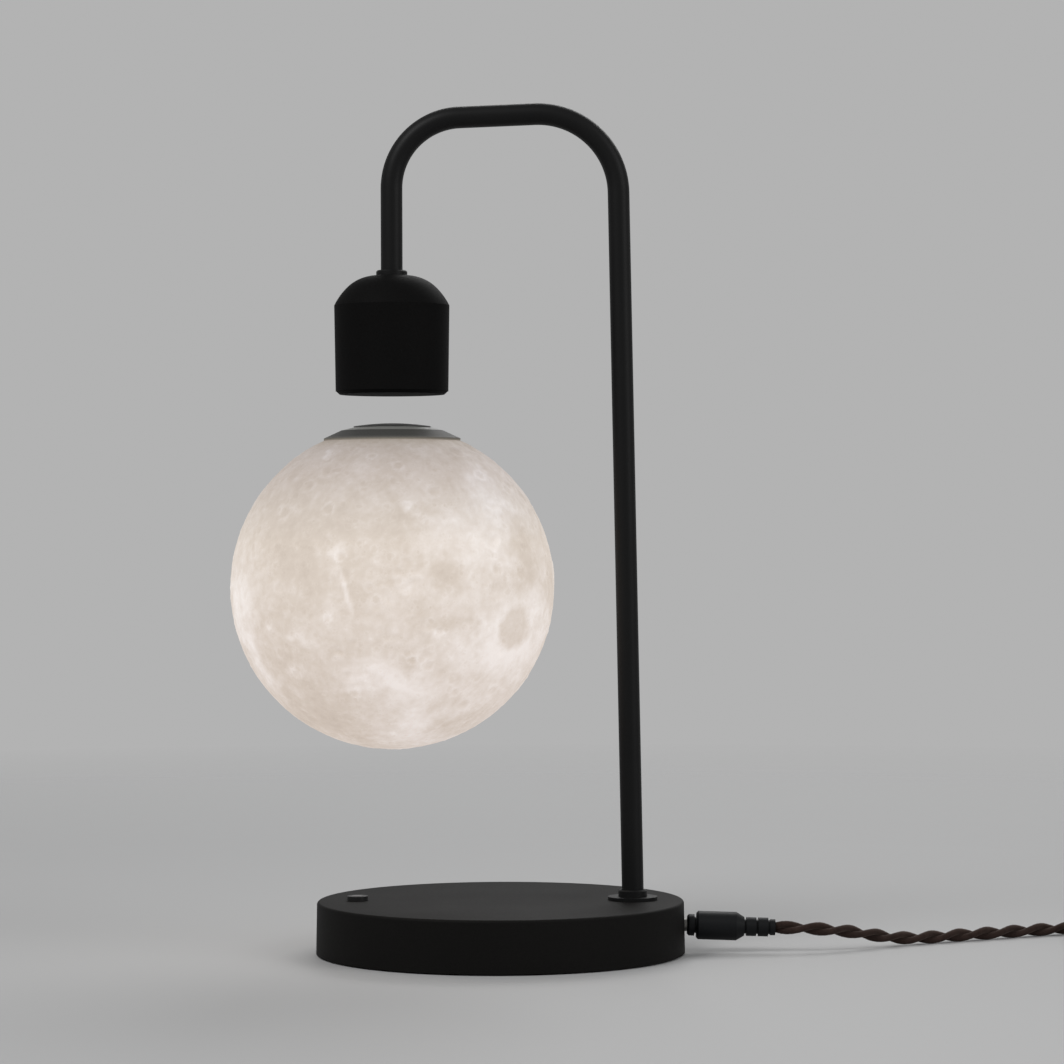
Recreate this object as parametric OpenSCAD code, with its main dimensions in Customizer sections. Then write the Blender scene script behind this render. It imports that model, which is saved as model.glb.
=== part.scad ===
// Desk lamp: a glowing moon floats under a bell-shaped magnet head on a bent tube.
// Lengths are in millimetres and +Z is up. The origin is the centre of the base's
// footprint on the table, and the tube frame stands in the XZ plane.

/* [Base] */
// Diameter of the base at its foot
base_d = 160.8; // [156:0.1:176]
// How much the base's radius shrinks from its foot to its top
base_draft = 0.4; // [0.1:0.1:1]
// Height of the base's top face above the table
base_h = 23; // [23:0.5:28]
// Gap between the table and the rim of the base shell
rim_gap = 0.6; // [0.4:0.1:1]
// Side wall of the base shell
shell_wall = 2.2; // [1.8:0.1:3]
// Thickness of the base shell's top
shell_top = 2.5; // [2:0.1:2.8]
// Rounding of the base's upper edge
base_round = 1.2; // [0.6:0.1:1.6]
// Thickness of the foam pad under the base
pad_t = 1.6; // [1.6:0.1:2]
// Gap between the foam pad and the heads of the plate screws
pad_gap = 3.2; // [2:0.1:12]
// Thickness of the bottom plate
plate_t = 2; // [1.5:0.1:2.4]
// Gap between the bottom plate's edge and the shell
plate_gap = 0.3; // [0.2:0.05:0.6]
// Distance of the plate screws from the base's outer edge
plate_screw_inset = 12.4; // [10:0.1:13]
// Diameter of the bosses that the bottom plate is screwed to
plate_boss_d = 8; // [7:0.5:9]
// How much smaller the iron ballast's radius is than the base's
ballast_inset = 36.4; // [34:0.1:44]
// Thickness of the iron ballast disc
ballast_t = 7; // [5:0.5:8]
// Gap between the ballast and the cable beside it
ballast_gap = 4.5; // [2:0.1:6]

/* [Control board] */
// Length of the control board along X
board_l = 70; // [66:1:74]
// Width of the control board along Y
board_w = 50; // [46:1:60]
// Thickness of the circuit boards
board_t = 1.6; // [1.2:0.1:2]
// Distance between the control board's end and the pole's axis
board_to_pole = 14.7; // [14:0.1:18]
// Distance between the board's top and the underside of the base shell's top
board_drop = 5.5; // [5.2:0.1:6]
// Distance of the board screws from the board's edges
board_inset = 4; // [3.5:0.5:5]

/* [Tube frame] */
// Outside diameter of the tube
tube_d = 9.5; // [9:0.1:10]
// Wall of the tube
tube_wall = 1; // [0.8:0.1:1.4]
// Distance between the pole's axis and the base's outer edge
pole_inset = 22.7; // [22:0.1:25]
// Lean of the pole towards the moon, in degrees
pole_lean = 1; // [0.5:0.1:2]
// Height of the arm's centreline where it leaves the pole's bend
arm_z = 366; // [355:0.5:400]
// Slope of the arm down towards the bell, in degrees
arm_slope = 2.3; // [0.5:0.1:4]
// Centreline radius of the bend between pole and arm
pole_bend_r = 35; // [28:0.5:38]
// Centreline radius of the bend between arm and drop
drop_bend_r = 31; // [26:0.5:36]
// Centreline radius of the slight bend that starts the pole's lean
sway_r = 200; // [100:10:300]
// Diameter of the cable inside the tube
harness_d = 3.5; // [2.5:0.1:4.5]
// Bend radius of the cable inside the base
harness_bend_r = 6; // [5:0.5:6.5]
// Diameter of the flat flange at the foot of the pole
flange_d = 21.6; // [19:0.1:24]
// Thickness of the flange
flange_t = 1.5; // [1.2:0.1:2]
// Diameter of the collar on the flange
collar_d = 12.5; // [12:0.1:14]
// Height of the collar on the flange
collar_h = 3; // [2.4:0.1:4]
// Width across the flats of the tube's lock nuts
nut_af = 14; // [13.4:0.1:14.4]
// Thickness of the tube's lock nuts
nut_t = 5; // [4:0.5:5]
// Thickness of the washer over the lower lock nut
washer_t = 0.8; // [0.6:0.1:1.2]

/* [Bell] */
// Distance between the pole's foot and the axis of the bell and the moon
arm_reach = 104.4; // [100:0.1:110]
// Height of the bell's rim above the table
bell_z = 245.2; // [240:0.1:260]
// Diameter of the bell at its rim
bell_d = 49.2; // [49:0.1:52]
// Diameter of the bell at its shoulder
shoulder_d = 50.3; // [50:0.1:53]
// Height of the bell's side from rim to shoulder
bell_side_h = 37.4; // [36:0.1:42]
// Wall of the bell
bell_wall = 1.8; // [1.4:0.1:2]
// Radius of the dome's lower arc
dome_low_r = 29; // [28.5:0.1:30]
// Radius of the dome's upper arc
dome_top_r = 18; // [17:0.1:19]
// Angle of the dome's lower arc at the shoulder, in degrees
shoulder_a = 26; // [24:0.5:28]
// Angle at which the lower arc meets the upper one, in degrees
dome_split_a = 45; // [42:0.5:48]
// Diameter of the collar at the bell's neck
neck_d = 13.6; // [13:0.1:14.5]
// Height of the collar at the bell's neck
neck_h = 2.3; // [2:0.1:4]
// How far the bottom cover stands out below the rim
cover_drop = 1.4; // [1.4:0.1:2.4]
// Thickness of the bottom cover
cover_t = 1.8; // [1.6:0.1:2.2]
// Width of the bottom cover's chamfer
cover_chamfer = 1.3; // [0.5:0.1:1.6]
// Height of the cover's spigot inside the bell
cover_spigot_h = 3.8; // [3:0.1:5]

/* [Electromagnet] */
// Diameter of the iron core
core_d = 12; // [10:0.5:13]
// Diameter of the copper winding
winding_d = 38; // [34:0.5:39]
// Height of the copper winding
winding_h = 17.8; // [14:0.1:18.4]
// Thickness of the bobbin's flanges
bobbin_flange_t = 1.6; // [1.2:0.1:1.8]
// Wall of the bobbin's tube
bobbin_wall = 1.2; // [0.8:0.1:1.6]
// Thickness of the bracket plate that carries the electromagnet
bracket_t = 2; // [1.5:0.1:2.2]
// Distance of the bracket screws from the bell's axis
bracket_screw_at = 16.5; // [16:0.1:17]
// Diameter of the small board that holds the field sensor
sensor_board_d = 20; // [14:0.5:22]
// Outer diameter of the power coil in the bell
power_coil_d = 41; // [38:0.5:41.2]
// Inner diameter of the power coil in the bell
power_coil_bore = 26; // [24:0.5:30]
// Thickness of the power coil in the bell
power_coil_t = 2; // [1:0.1:2.2]

/* [Moon] */
// Diameter of the moon
moon_d = 141; // [136:0.5:146]
// Wall of the moon's shell
moon_wall = 1.8; // [1.2:0.1:2.4]
// Air gap between the bell's cover and the moon's crown
float_gap = 12.6; // [9:0.1:16]
// Height of the crown above the moon's own round
crown_rise = 1; // [0.8:0.1:1.6]
// Diameter of the dark ring around the lid
ring_d = 59.6; // [58:0.1:62]
// Thickness of the ring's outer edge
ring_edge_t = 1; // [0.8:0.1:1.4]
// Diameter of the light lid inside the ring
lid_d = 44.2; // [43.6:0.1:46]
// Thickness of the lid at its edge
lid_edge_t = 1.6; // [1.4:0.1:2]
// Height from the lid's edge to its flat top
lid_rise = 1.3; // [1:0.1:1.6]
// Diameter of the dark disc on the lid
disc_d = 33.6; // [30:0.1:35]
// Thickness of the dark disc at its edge
disc_edge_t = 0.5; // [0.4:0.1:0.7]
// Thickness of the dark disc at its centre
disc_t = 1.8; // [1.4:0.1:2]
// Diameter of the spigot that fits the moon's opening
spigot_d = 53.6; // [53:0.1:55]
// Wall of the spigot
spigot_wall = 1.6; // [1.2:0.1:2]
// Depth of the spigot below the lid's ledge
spigot_h = 10.8; // [10.6:0.1:13]
// Width of the ledge that the lid lies on
ledge_w = 2; // [1.6:0.1:2.4]

/* [Moon inside] */
// Diameter of the lifting magnet
magnet_d = 25; // [20:0.5:26]
// Thickness of the lifting magnet
magnet_t = 6.3; // [4:0.1:6.6]
// Running clearance around the magnet
magnet_play = 0.08; // [0.03:0.01:0.1]
// Wall of the pocket that holds the magnet
pocket_wall = 1.6; // [1.2:0.1:1.8]
// Thickness of the plate that closes the pocket
retainer_t = 1.4; // [1:0.1:1.6]
// Outer diameter of the receiver coil
rx_coil_d = 39; // [36:0.5:39.5]
// Thickness of the receiver coil
rx_coil_t = 2; // [1:0.1:2.4]
// Diameter of the light board
led_board_d = 52; // [50:0.5:52.4]
// Number of lights in the ring on the light board
led_count = 8; // [4:1:10]
// Distance of the lights from the moon's axis
led_at = 16; // [12:0.5:18]

/* [Button] */
// Distance between the button's axis and the base's outer edge
button_inset = 18; // [17:0.1:19.4]
// Diameter of the button
button_d = 9; // [8:0.1:10]
// Height of the button above the base
button_h = 2; // [1.6:0.1:2.4]
// Diameter of the light insert in the button
lens_d = 5.4; // [4:0.1:6]
// Travel of the button
button_travel = 0.5; // [0.3:0.05:0.6]
// Gap around the button in the base
button_gap = 0.15; // [0.1:0.01:0.25]

/* [Power socket and plug] */
// Height of the power socket's axis above the table
jack_z = 12; // [11.8:0.1:12.4]
// Width and height of the socket's block
jack_w = 11; // [10:0.1:11.4]
// Diameter of the socket's nozzle in the wall
nozzle_d = 8; // [7.6:0.1:8.6]
// Outside diameter of the plug's metal barrel
barrel_d = 5.5; // [5.5:0.1:5.6]
// Inside diameter of the plug's metal barrel
barrel_bore = 2.2; // [2.2:0.1:2.6]
// Length of barrel that shows between base and plug
barrel_show = 1.2; // [0.8:0.1:2]
// Droop of the plug below level, in degrees
plug_droop = 1.9; // [0.5:0.1:2.4]
// Diameter of the plug's grip
grip_d = 12.4; // [11:0.1:13]
// Length of the plug's grip
grip_l = 17.4; // [14:0.1:20]
// Diameter of the plug's front collar
front_d = 9.4; // [9:0.1:10.4]
// Diameter of the rings of the plug's strain relief
relief_d = 8.2; // [7.6:0.1:9]

/* [Cord] */
// Diameter across the twisted pair
cord_d = 6; // [5.6:0.1:6]
// Radius of the coil's outermost turn
coil_r = 44; // [43.5:0.5:45]
// Distance between turns, across a layer
coil_pitch = 6.5; // [6.5:0.1:6.8]
// Distance between the two layers
coil_step = 6.6; // [6.6:0.1:7]
// Thickness of the ties around the coil
tie_t = 0.6; // [0.4:0.1:0.6]
// Width of the ties around the coil
tie_w = 5; // [3:0.5:6]

/* [Wall adapter] */
// Length of the adapter
adapter_l = 74; // [66:1:84]
// Width of the adapter
adapter_w = 42; // [36:1:50]
// Height of the adapter as it lies, without its pins
adapter_h = 28; // [26:0.5:34]
// Wall of the adapter's case
adapter_wall = 2.2; // [1.6:0.1:2.8]
// Corner radius of the adapter's case
adapter_round = 5; // [4:0.5:6]
// Diameter of the mains pins
pin_d = 4; // [4:0.05:4.8]
// Length of the mains pins
pin_l = 19; // [18:0.5:20]
// Distance between the mains pins
pin_gap = 18.6; // [18:0.1:19.2]
// Length of the adapter's strain relief
adapter_relief_l = 24; // [24:0.5:30]

/* [Hidden] */

$fn = 96;
eps = 0.01;
arc_steps = 10;

black = "#1c1b1a";
dark_grey = "#4d4c4a";
light_grey = "#8d8b88";
steel = "silver";
copper = "#b5703a";
board_green = "#2f5a3c";

// Base levels and radii
foot_r = base_d / 2;
top_r = foot_r - base_draft;
inner_r = top_r - shell_wall;
roof_z = base_h - shell_top;
plate_z = pad_t;
plate_top = plate_z + plate_t;
plate_screw_at = foot_r - plate_screw_inset;
pole_x = foot_r - pole_inset;
button_x = button_inset - foot_r;
bell_x = pole_x - arm_reach;
screw_grip = 8;
pilot_r = 1.25;
hole_gap = 0.2;
boss_sink = 0.5;

// Screws: [head radius, head height, shank radius, shank length]
plate_screw = [2.8, 1.2, 1.2, 8];
pad_r = plate_screw_at - plate_screw[0] - pad_gap;
board_screw = [2, 1.2, 0.85, 5];
lid_screw = [1.9, 1.1, 0.8, 5];
small_pilot_r = 0.9;
small_boss_r = 2.4;

// Control board
board_x = pole_x - board_to_pole - board_l / 2;
board_top = roof_z - board_drop;
board_z = board_top - board_t;
board_hole_x = board_l / 2 - board_inset;
board_hole_y = board_w / 2 - board_inset;
// Parts on the board: [x, y, length, width, height]
board_blocks = [[-20, 8, 12, 12, 4.5], [-20, -10, 9, 7, 1.6], [0, -4, 10, 10, 1.4],
  [2, 14, 5, 4, 2], [14, -14, 8, 5, 2.2], [12, 3, 6, 6, 3], [-4, -16, 4, 3, 1.2]];
board_cans = [[22, 12], [24, -2], [-8, 6]];
can_r = 3.15;
can_h = 4.8;

// Button and its switch
flange_extra_r = 1.1;
button_flange_t = 1;
button_lift = 0.1;
button_stem_r = 1.5;
stem_l = 2.5;
switch_w = 6;
switch_h = 3.5;
switch_dip = 1.6;
button_flange_z = roof_z - button_lift - button_flange_t;
stem_z = button_flange_z - stem_l;
stem_dip = 0.6;
switch_top = stem_z + stem_dip;
switch_board_t = 1.2;
switch_board_z = switch_top - switch_h - switch_board_t;
switch_board_w = 12;
switch_board_l = 25;
switch_hole_y = 9.5;
lens_sink = 0.9;
lens_gap = 0.05;
lens_proud = 0.1;

// Power socket
jack_gap = 0.1;
jack_front = sqrt(inner_r * inner_r - jack_w * jack_w / 4) - jack_gap;
jack_l = 10.9;
jack_back_wall = 1.2;
nozzle_set_back = 0.3;
nozzle_l = top_r - jack_front - nozzle_set_back;
jack_bore_r = barrel_d / 2 + jack_gap;
jack_pin_r = 1;
barrel_seat = 0.8;
barrel_tip = jack_front - jack_l + jack_back_wall + barrel_seat;

// The base's side at the height of the socket
side_x = foot_r - base_draft * (jack_z - rim_gap) / (base_h - base_round - rim_gap);
plug_x = side_x + barrel_show;

// Plug body: lengths of its stretches along its own axis
front_l = 3.1;
notch_l = 0.9;
notch_d = 7;
taper_l = 3.5;
ring_l = 4.3;
ring_gap = 0.9;
relief_core_d = 6.2;
end_ring_d = 7;
end_ring_l = 2.2;
plug_l = front_l + notch_l + grip_l + taper_l + 3 * ring_gap + 2 * ring_l + end_ring_l;
plug_edge = 0.8;

// Tube frame: each run is [straight length, bend radius, bend angle], turning left
tube_r = tube_d / 2;
tube_bore_r = tube_r - tube_wall;
tube_gap = 0.2;
nut_gap = 0.05;
nut_rim = 1;
tube_foot_z = 9;
lap = 0.15;
lap_step = 0.01;
collar_top = base_h + flange_t + collar_h;
pole_a = 90 + pole_lean;
arm_a = 180 + arm_slope;
function ahead(a) = [cos(a), 0, sin(a)];
function leftward(a) = [-sin(a), 0, cos(a)];
function past_bend(at, a, r, turn) = at + r * (leftward(a) - leftward(a + turn));
sway_end = past_bend([pole_x, 0, collar_top], 90, sway_r, pole_lean);
bend_rise = past_bend([0, 0, 0], pole_a, pole_bend_r, arm_a - pole_a)[2];
pole_l = (arm_z - bend_rise - sway_end[2]) / sin(pole_a);
arm_start = past_bend(sway_end + pole_l * ahead(pole_a), pole_a, pole_bend_r, arm_a - pole_a);
drop_shift = past_bend([0, 0, 0], arm_a, drop_bend_r, 270 - arm_a);
arm_l = (arm_start[0] + drop_shift[0] - bell_x) / -cos(arm_a);
drop_start = arm_start + arm_l * ahead(arm_a) + drop_shift;

// Bell
rim_r = bell_d / 2;
shoulder_r = shoulder_d / 2;
bell_in_r = rim_r - bell_wall;
shoulder_z = bell_z + bell_side_h;
low_centre = [shoulder_r - dome_low_r * cos(shoulder_a), shoulder_z - dome_low_r * sin(shoulder_a)];
split_r = dome_low_r - dome_top_r;
top_centre = low_centre + split_r * [cos(dome_split_a), sin(dome_split_a)];
bell_top = top_centre[1] + dome_top_r;
bell_ceiling = bell_top - bell_wall;
inner_start_a = acos((bell_in_r - low_centre[0]) / (dome_low_r - bell_wall));
neck_nut_gap = 0.05;
neck_nut_z = bell_ceiling - nut_t - neck_nut_gap;
tube_past_nut = 2;
drop_end_z = neck_nut_z - tube_past_nut;
drop_l = drop_start[2] - drop_end_z;
neck_chamfer = 0.6;
tube_runs = [[collar_top - tube_foot_z, sway_r, pole_lean],
  [pole_l, pole_bend_r, arm_a - pole_a],
  [arm_l, drop_bend_r, 270 - arm_a],
  [drop_l, 0, 0]];
bore_runs = [[collar_top - tube_foot_z + eps, sway_r, pole_lean],
  tube_runs[1], tube_runs[2], [drop_l + eps, 0, 0]];

// Bell cover and the electromagnet that stands over it
cover_bottom = bell_z - cover_drop;
cover_floor = cover_bottom + cover_t;
cover_set_back = 0.4;
cover_lip_edge = 0.2;
cover_lip_r = rim_r - cover_set_back;
cover_spigot_r = bell_in_r - hole_gap;
cover_spigot_wall = 1.4;
stack_gap = 0.1;
sensor_t = 1.5;
sensor_l = 4;
sensor_w = 3;
sensor_board_z = cover_floor + stack_gap + sensor_t;
sensor_board_t = 1.2;
core_bottom = sensor_board_z + sensor_board_t;
core_r = core_d / 2;
core_gap = 0.05;
bobbin_lip = 1;
bobbin_r = winding_d / 2 + bobbin_lip;
bobbin_tube_r = core_r + core_gap + bobbin_wall;
winding_z = core_bottom + bobbin_flange_t;
bobbin_top = winding_z + winding_h + bobbin_flange_t;
bracket_top = bobbin_top + bracket_t;
bracket_gap = 0.3;
bracket_r = bell_in_r - bracket_gap;
bracket_boss_r = 2.8;
bracket_screw_count = 3;
bracket_screw_a = 60;
terminal_l = 14;
terminal_w = 8;
terminal_h = 5;

// Cable inside: from the control board into the tube and down to the terminal block
harness_r = harness_d / 2;
harness_inset = 3;
harness_x = board_x + board_l / 2 - harness_r - harness_inset;
harness_z = plate_top + harness_r + hole_gap;
harness_drop = board_z - harness_z - harness_bend_r;
harness_run = pole_x - harness_x - 2 * harness_bend_r;
harness_rise = collar_top - harness_z - harness_bend_r;
harness_drop_l = drop_start[2] - bracket_top - terminal_h;
ballast_r = foot_r - ballast_inset;
ballast_x = harness_x - harness_r - ballast_gap - ballast_r;
harness_runs = [[harness_drop, harness_bend_r, 90],
  [harness_run, harness_bend_r, 90],
  [harness_rise, sway_r, pole_lean],
  tube_runs[1], tube_runs[2], [harness_drop_l, 0, 0]];

// Moon and its lid
moon_r = moon_d / 2;
crown_z = cover_bottom - float_gap;
moon_z = crown_z - crown_rise - moon_r;
ring_r = ring_d / 2;
lid_r = lid_d / 2;
disc_r = disc_d / 2;
lid_flat_z = crown_z - disc_t;
lid_edge_z = lid_flat_z - lid_rise;
ledge_z = lid_edge_z - lid_edge_t;
ring_seat_z = moon_z + sqrt(moon_r * moon_r - ring_r * ring_r);
spigot_r = spigot_d / 2;
moon_hole_r = spigot_r + hole_gap;
spigot_z = ledge_z - spigot_h;
seat_gap = 0.02;
disc_round_r = (disc_r * disc_r + pow(disc_t - disc_edge_t, 2)) / (2 * (disc_t - disc_edge_t));
fit_gap = 0.1;

// Inside the lid
magnet_r = magnet_d / 2;
pocket_r = magnet_r + magnet_play;
magnet_lift = 0.1;
pocket_depth = magnet_t + 2 * magnet_lift;
pocket_z = ledge_z - pocket_depth;
retainer_z = pocket_z - retainer_t;
rx_coil_gap = 0.1;
rx_coil_play = 0.4;
rx_coil_bore_r = pocket_r + pocket_wall + rx_coil_play;
led_board_z = spigot_z - board_t;
led_size = 3.5;
led_h = 0.9;
rx_chip = [7, 5, 1.4];
lid_boss_lap = 0.4;
lid_boss_end = 1;
lid_screw_at = spigot_r - spigot_wall - small_boss_r + lid_boss_lap;
lid_screw_count = 3;
lid_boss_h = 8;

// Cord route from the plug to the coil, chosen by hand: [x, y, z]
plug_end = [plug_x, 0, jack_z] + plug_l * [cos(plug_droop), 0, -sin(plug_droop)];
cord_points = [[131, 0, 10.4], [142, 2.5, 9.5], [154, 8, 7.8], [166, 14.5, 5.4],
  [178, 21.5, 3.5], [190, 28, 3], [202, 34.5, 3], [215, 41, 3], [228, 48, 3],
  [241, 54.5, 3], [254, 60.5, 3], [267, 66, 3.2], [280, 71, 3.5], [292, 74, 3.8],
  [300, 75, 4]];
cord_sides = 10;

// Coil: two layers that spiral in and out again, clockwise from above
cord_r = cord_d / 2;
coil_sides = 6;
coil_rings = 24;
coil_turns = 6.25;
coil_centre = [312, 31];
tie_gap = 0.4;
coil_z = cord_r + tie_t + tie_gap;
coil_start_a = 90;
climb_turns = 0.5;
coil_in = coil_turns / 2;
function coil_turn_r(t) = coil_r - coil_pitch * (coil_in - abs(t - coil_in));
function climbed(t) = min(1, max(0, (t - coil_in) / climb_turns + 0.5));
function coil_point(t) = [coil_centre[0] + coil_turn_r(t) * cos(coil_start_a - 360 * t),
  coil_centre[1] + coil_turn_r(t) * sin(coil_start_a - 360 * t),
  coil_z + coil_step * climbed(t)];
coil_wound = [for (i = [0 : coil_turns * coil_rings]) coil_point(i / coil_rings)];
coil_head = coil_wound[0] - [cord_d, 0, 0];
coil_tail = coil_wound[len(coil_wound) - 1] - [0, cord_d, 0];
coil_path = concat([coil_head], coil_wound, [coil_tail]);
lead_path = concat([plug_end], cord_points, [coil_head]);

// Least gap of the coil to itself, over points more than a third of a turn apart
near_points = coil_rings / 3;
coil_gap = min([for (i = [0 : len(coil_wound) - 1])
  for (j = [i + near_points : len(coil_wound) - 1])
  norm(coil_wound[i] - coil_wound[j])]) - cord_d;
echo(least_gap_of_the_coil_mm = coil_gap);
function path_length(p) = len(p) < 2 ? 0
  : norm(p[1] - p[0]) + path_length([for (i = [1 : len(p) - 1]) p[i]]);
echo(cord_length_mm = path_length(lead_path) + path_length(coil_path));

// Ties around the coil
tie_angles = [160, 280];
function turns_at(a) = let (first = ((coil_start_a - a + 720) % 360) / 360)
  [for (t = [first : 1 : coil_turns]) coil_turn_r(t)];
function tie_in_r(a) = min(turns_at(a)) - cord_r - tie_gap;
function tie_out_r(a) = max(turns_at(a)) + cord_r + tie_gap;
tie_h = 2 * tie_t + 2 * tie_gap + cord_d + coil_step;
tie_round = 2;

// Wall adapter, lying beside the coil with its pins up
adapter_lead_at = 9;
adapter_x = coil_tail[0] - adapter_lead_at + adapter_w / 2;
adapter_back_y = coil_tail[1] - adapter_relief_l;
adapter_y = adapter_back_y - adapter_l / 2;
adapter_in_r = adapter_round - adapter_wall;
face_t = 2.5;
face_lip = 1.2;
adapter_lead_z = coil_tail[2];
adapter_relief_r = 4.6;
relief_sink = 1.5;
relief_edge = 0.3;
pin_hole_gap = 0.05;
pin_root_l = 4;
pin_root_extra = 0.6;
pin_tip = 0.6;
adapter_board_z = 5;
adapter_board_gap = 1;
adapter_board_end_gap = 6;
adapter_board_w = adapter_w - 2 * adapter_wall - adapter_board_gap;
adapter_board_l = adapter_l - 2 * adapter_wall - adapter_board_end_gap;
adapter_post_r = 2;
adapter_post_inset = 3;
adapter_post_x = adapter_board_w / 2 - adapter_post_inset;
adapter_post_y = adapter_board_l / 2 - adapter_post_inset;
transformer = [22, 20, 14];
transformer_y = 12;
mains_can_y = -10;
mains_can_r = 5;
mains_can_l = 16;
can_sink = 0.4;

// ---------------------------------------------------------------- helpers

// Points of an arc in a profile
function arc(centre, r, from, to) = [for (i = [0 : arc_steps])
  centre + r * [cos(from + (to - from) * i / arc_steps), sin(from + (to - from) * i / arc_steps)]];

// A disc with a hole
module ring(r, bore_r, h) {
  difference() {
    cylinder(r = r, h = h);
    translate([0, 0, -1]) cylinder(r = bore_r, h = h + 2);
  }
}

// A block centred on X and Y
module block(size) {
  translate([-size[0] / 2, -size[1] / 2, 0]) cube(size);
}

// A plate with round corners, centred on X and Y
module round_plate(l, w, r, h) {
  linear_extrude(h) {
    square([l - 2 * r, w], center = true);
    square([l, w - 2 * r], center = true);
    for (x = [-1, 1], y = [-1, 1])
      translate([x * (l / 2 - r), y * (w / 2 - r)]) circle(r = r);
  }
}

// Copies around the Z axis
module around(count, at, start = 0) {
  for (i = [0 : count - 1])
    rotate([0, 0, start + 360 * i / count]) translate([at, 0, 0]) children();
}

// A screw that points up, with its head below Z = 0 and a cross in its head
module screw(size) {
  slot = [size[0] * 1.1, 0.6, 0.6];
  difference() {
    union() {
      translate([0, 0, -size[1]]) cylinder(r = size[0], h = size[1]);
      cylinder(r = size[2], h = size[3]);
    }
    translate([0, 0, -size[1] - eps]) block(slot);
    translate([0, 0, -size[1] - eps]) block([slot[1], slot[0], slot[2]]);
  }
}

// A round rod along runs that each end in a bend to the left. The straights lap a
// little way into the bends, whose section is a hair thinner, so that they join cleanly.
module bent_rod(r, runs, at, a, i = 0) {
  if (i < len(runs)) {
    bend_r = runs[i][1];
    turn = runs[i][2];
    corner = at + runs[i][0] * ahead(a);
    before = i == 0 ? 0 : lap;
    after = turn > 0 ? lap : 0;
    translate(at - before * ahead(a)) rotate([0, 90 - a, 0])
      cylinder(r = r, h = before + runs[i][0] + after);
    if (turn > 0)
      translate(corner + bend_r * leftward(a)) rotate([90, 0, 0]) rotate([0, 0, a - 90])
        rotate_extrude(angle = turn) translate([bend_r, 0]) circle(r = r - lap_step);
    bent_rod(r, runs, past_bend(corner, a, bend_r, turn), a + turn, i + 1);
  }
}

// Heading of a path at one of its points
function heading(p, i) = let (step = p[min(i + 1, len(p) - 1)] - p[max(i - 1, 0)])
  i == 0 ? (p[1] - p[0]) / norm(p[1] - p[0])
  : i == len(p) - 1 ? (p[i] - p[i - 1]) / norm(p[i] - p[i - 1])
  : step / norm(step);

// One ring of a swept tube
function ring_points(at, go, r, sides) =
  let (side = cross(go, [0, 0, 1]) / norm(cross(go, [0, 0, 1])), up = cross(side, go))
  [for (k = [0 : sides - 1]) at + r * (cos(360 * k / sides) * side + sin(360 * k / sides) * up)];

// A tube swept along a path, as triangles
module swept_tube(p, r, sides) {
  n = len(p);
  points = [for (i = [0 : n - 1]) each ring_points(p[i], heading(p, i), r, sides)];
  walls = [for (i = [0 : n - 2], k = [0 : sides - 1])
    let (a = i * sides + k, b = i * sides + (k + 1) % sides)
    each [[a, b, a + sides], [b, b + sides, a + sides]]];
  first_end = [for (k = [1 : sides - 2]) [0, k + 1, k]];
  last = (n - 1) * sides;
  last_end = [for (k = [1 : sides - 2]) [last, last + k, last + k + 1]];
  polyhedron(points = points, faces = concat(walls, first_end, last_end), convexity = 10);
}

// ---------------------------------------------------------------- base

module plate_screw_places() { around(4, plate_screw_at, 45) children(); }

module board_screw_places() {
  for (x = [-1, 1], y = [-1, 1])
    translate([board_x + x * board_hole_x, y * board_hole_y, 0]) children();
}

module switch_screw_places() {
  for (y = [-1, 1]) translate([button_x, y * switch_hole_y, 0]) children();
}

module base_shell() {
  boss_h = roof_z + boss_sink - plate_top;
  color(black) difference() {
    union() {
      rotate_extrude() polygon(concat(
        [[0, roof_z], [0, base_h]],
        arc([top_r - base_round, base_h - base_round], base_round, 90, 0),
        [[foot_r, rim_gap], [inner_r, rim_gap], [inner_r, roof_z]]));
      plate_screw_places() translate([0, 0, plate_top])
        cylinder(d = plate_boss_d, h = boss_h);
      board_screw_places() translate([0, 0, board_top])
        cylinder(r = small_boss_r, h = board_drop + boss_sink);
      switch_screw_places() translate([0, 0, switch_board_z + switch_board_t])
        cylinder(r = small_boss_r, h = roof_z + boss_sink - switch_board_z - switch_board_t);
    }
    plate_screw_places() translate([0, 0, plate_top - eps])
      cylinder(r = pilot_r, h = screw_grip);
    board_screw_places() translate([0, 0, board_top - eps])
      cylinder(r = small_pilot_r, h = board_drop);
    switch_screw_places() translate([0, 0, switch_board_z])
      cylinder(r = small_pilot_r, h = board_drop);
    translate([pole_x, 0, roof_z - 1]) cylinder(r = tube_r + tube_gap, h = shell_top + 2);
    translate([button_x, 0, roof_z - 1])
      cylinder(r = button_d / 2 + button_gap, h = shell_top + 2);
    translate([inner_r - shell_wall, 0, jack_z]) rotate([0, 90, 0])
      cylinder(d = nozzle_d + 2 * button_gap, h = 3 * shell_wall);
  }
}

module base_plate() {
  color(black) difference() {
    translate([0, 0, plate_z]) cylinder(r = inner_r - plate_gap, h = plate_t);
    plate_screw_places() translate([0, 0, plate_z - 1])
      cylinder(r = plate_screw[2] + hole_gap, h = plate_t + 2);
  }
}

module foot_pad() { color("#2b2b2b") cylinder(r = pad_r, h = pad_t); }

module ballast() {
  color("#5b5a58") translate([ballast_x, 0, plate_top]) cylinder(r = ballast_r, h = ballast_t);
}

module control_board() {
  color(board_green) difference() {
    translate([board_x, 0, board_z]) block([board_l, board_w, board_t]);
    board_screw_places() translate([0, 0, board_z - 1])
      cylinder(r = board_screw[2] + hole_gap, h = board_t + 2);
  }
}

module board_parts() {
  color("#26282b") {
    for (b = board_blocks)
      translate([board_x + b[0], b[1], board_top]) block([b[2], b[3], b[4]]);
    for (c = board_cans)
      translate([board_x + c[0], c[1], board_top]) cylinder(r = can_r, h = can_h);
  }
}

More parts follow.
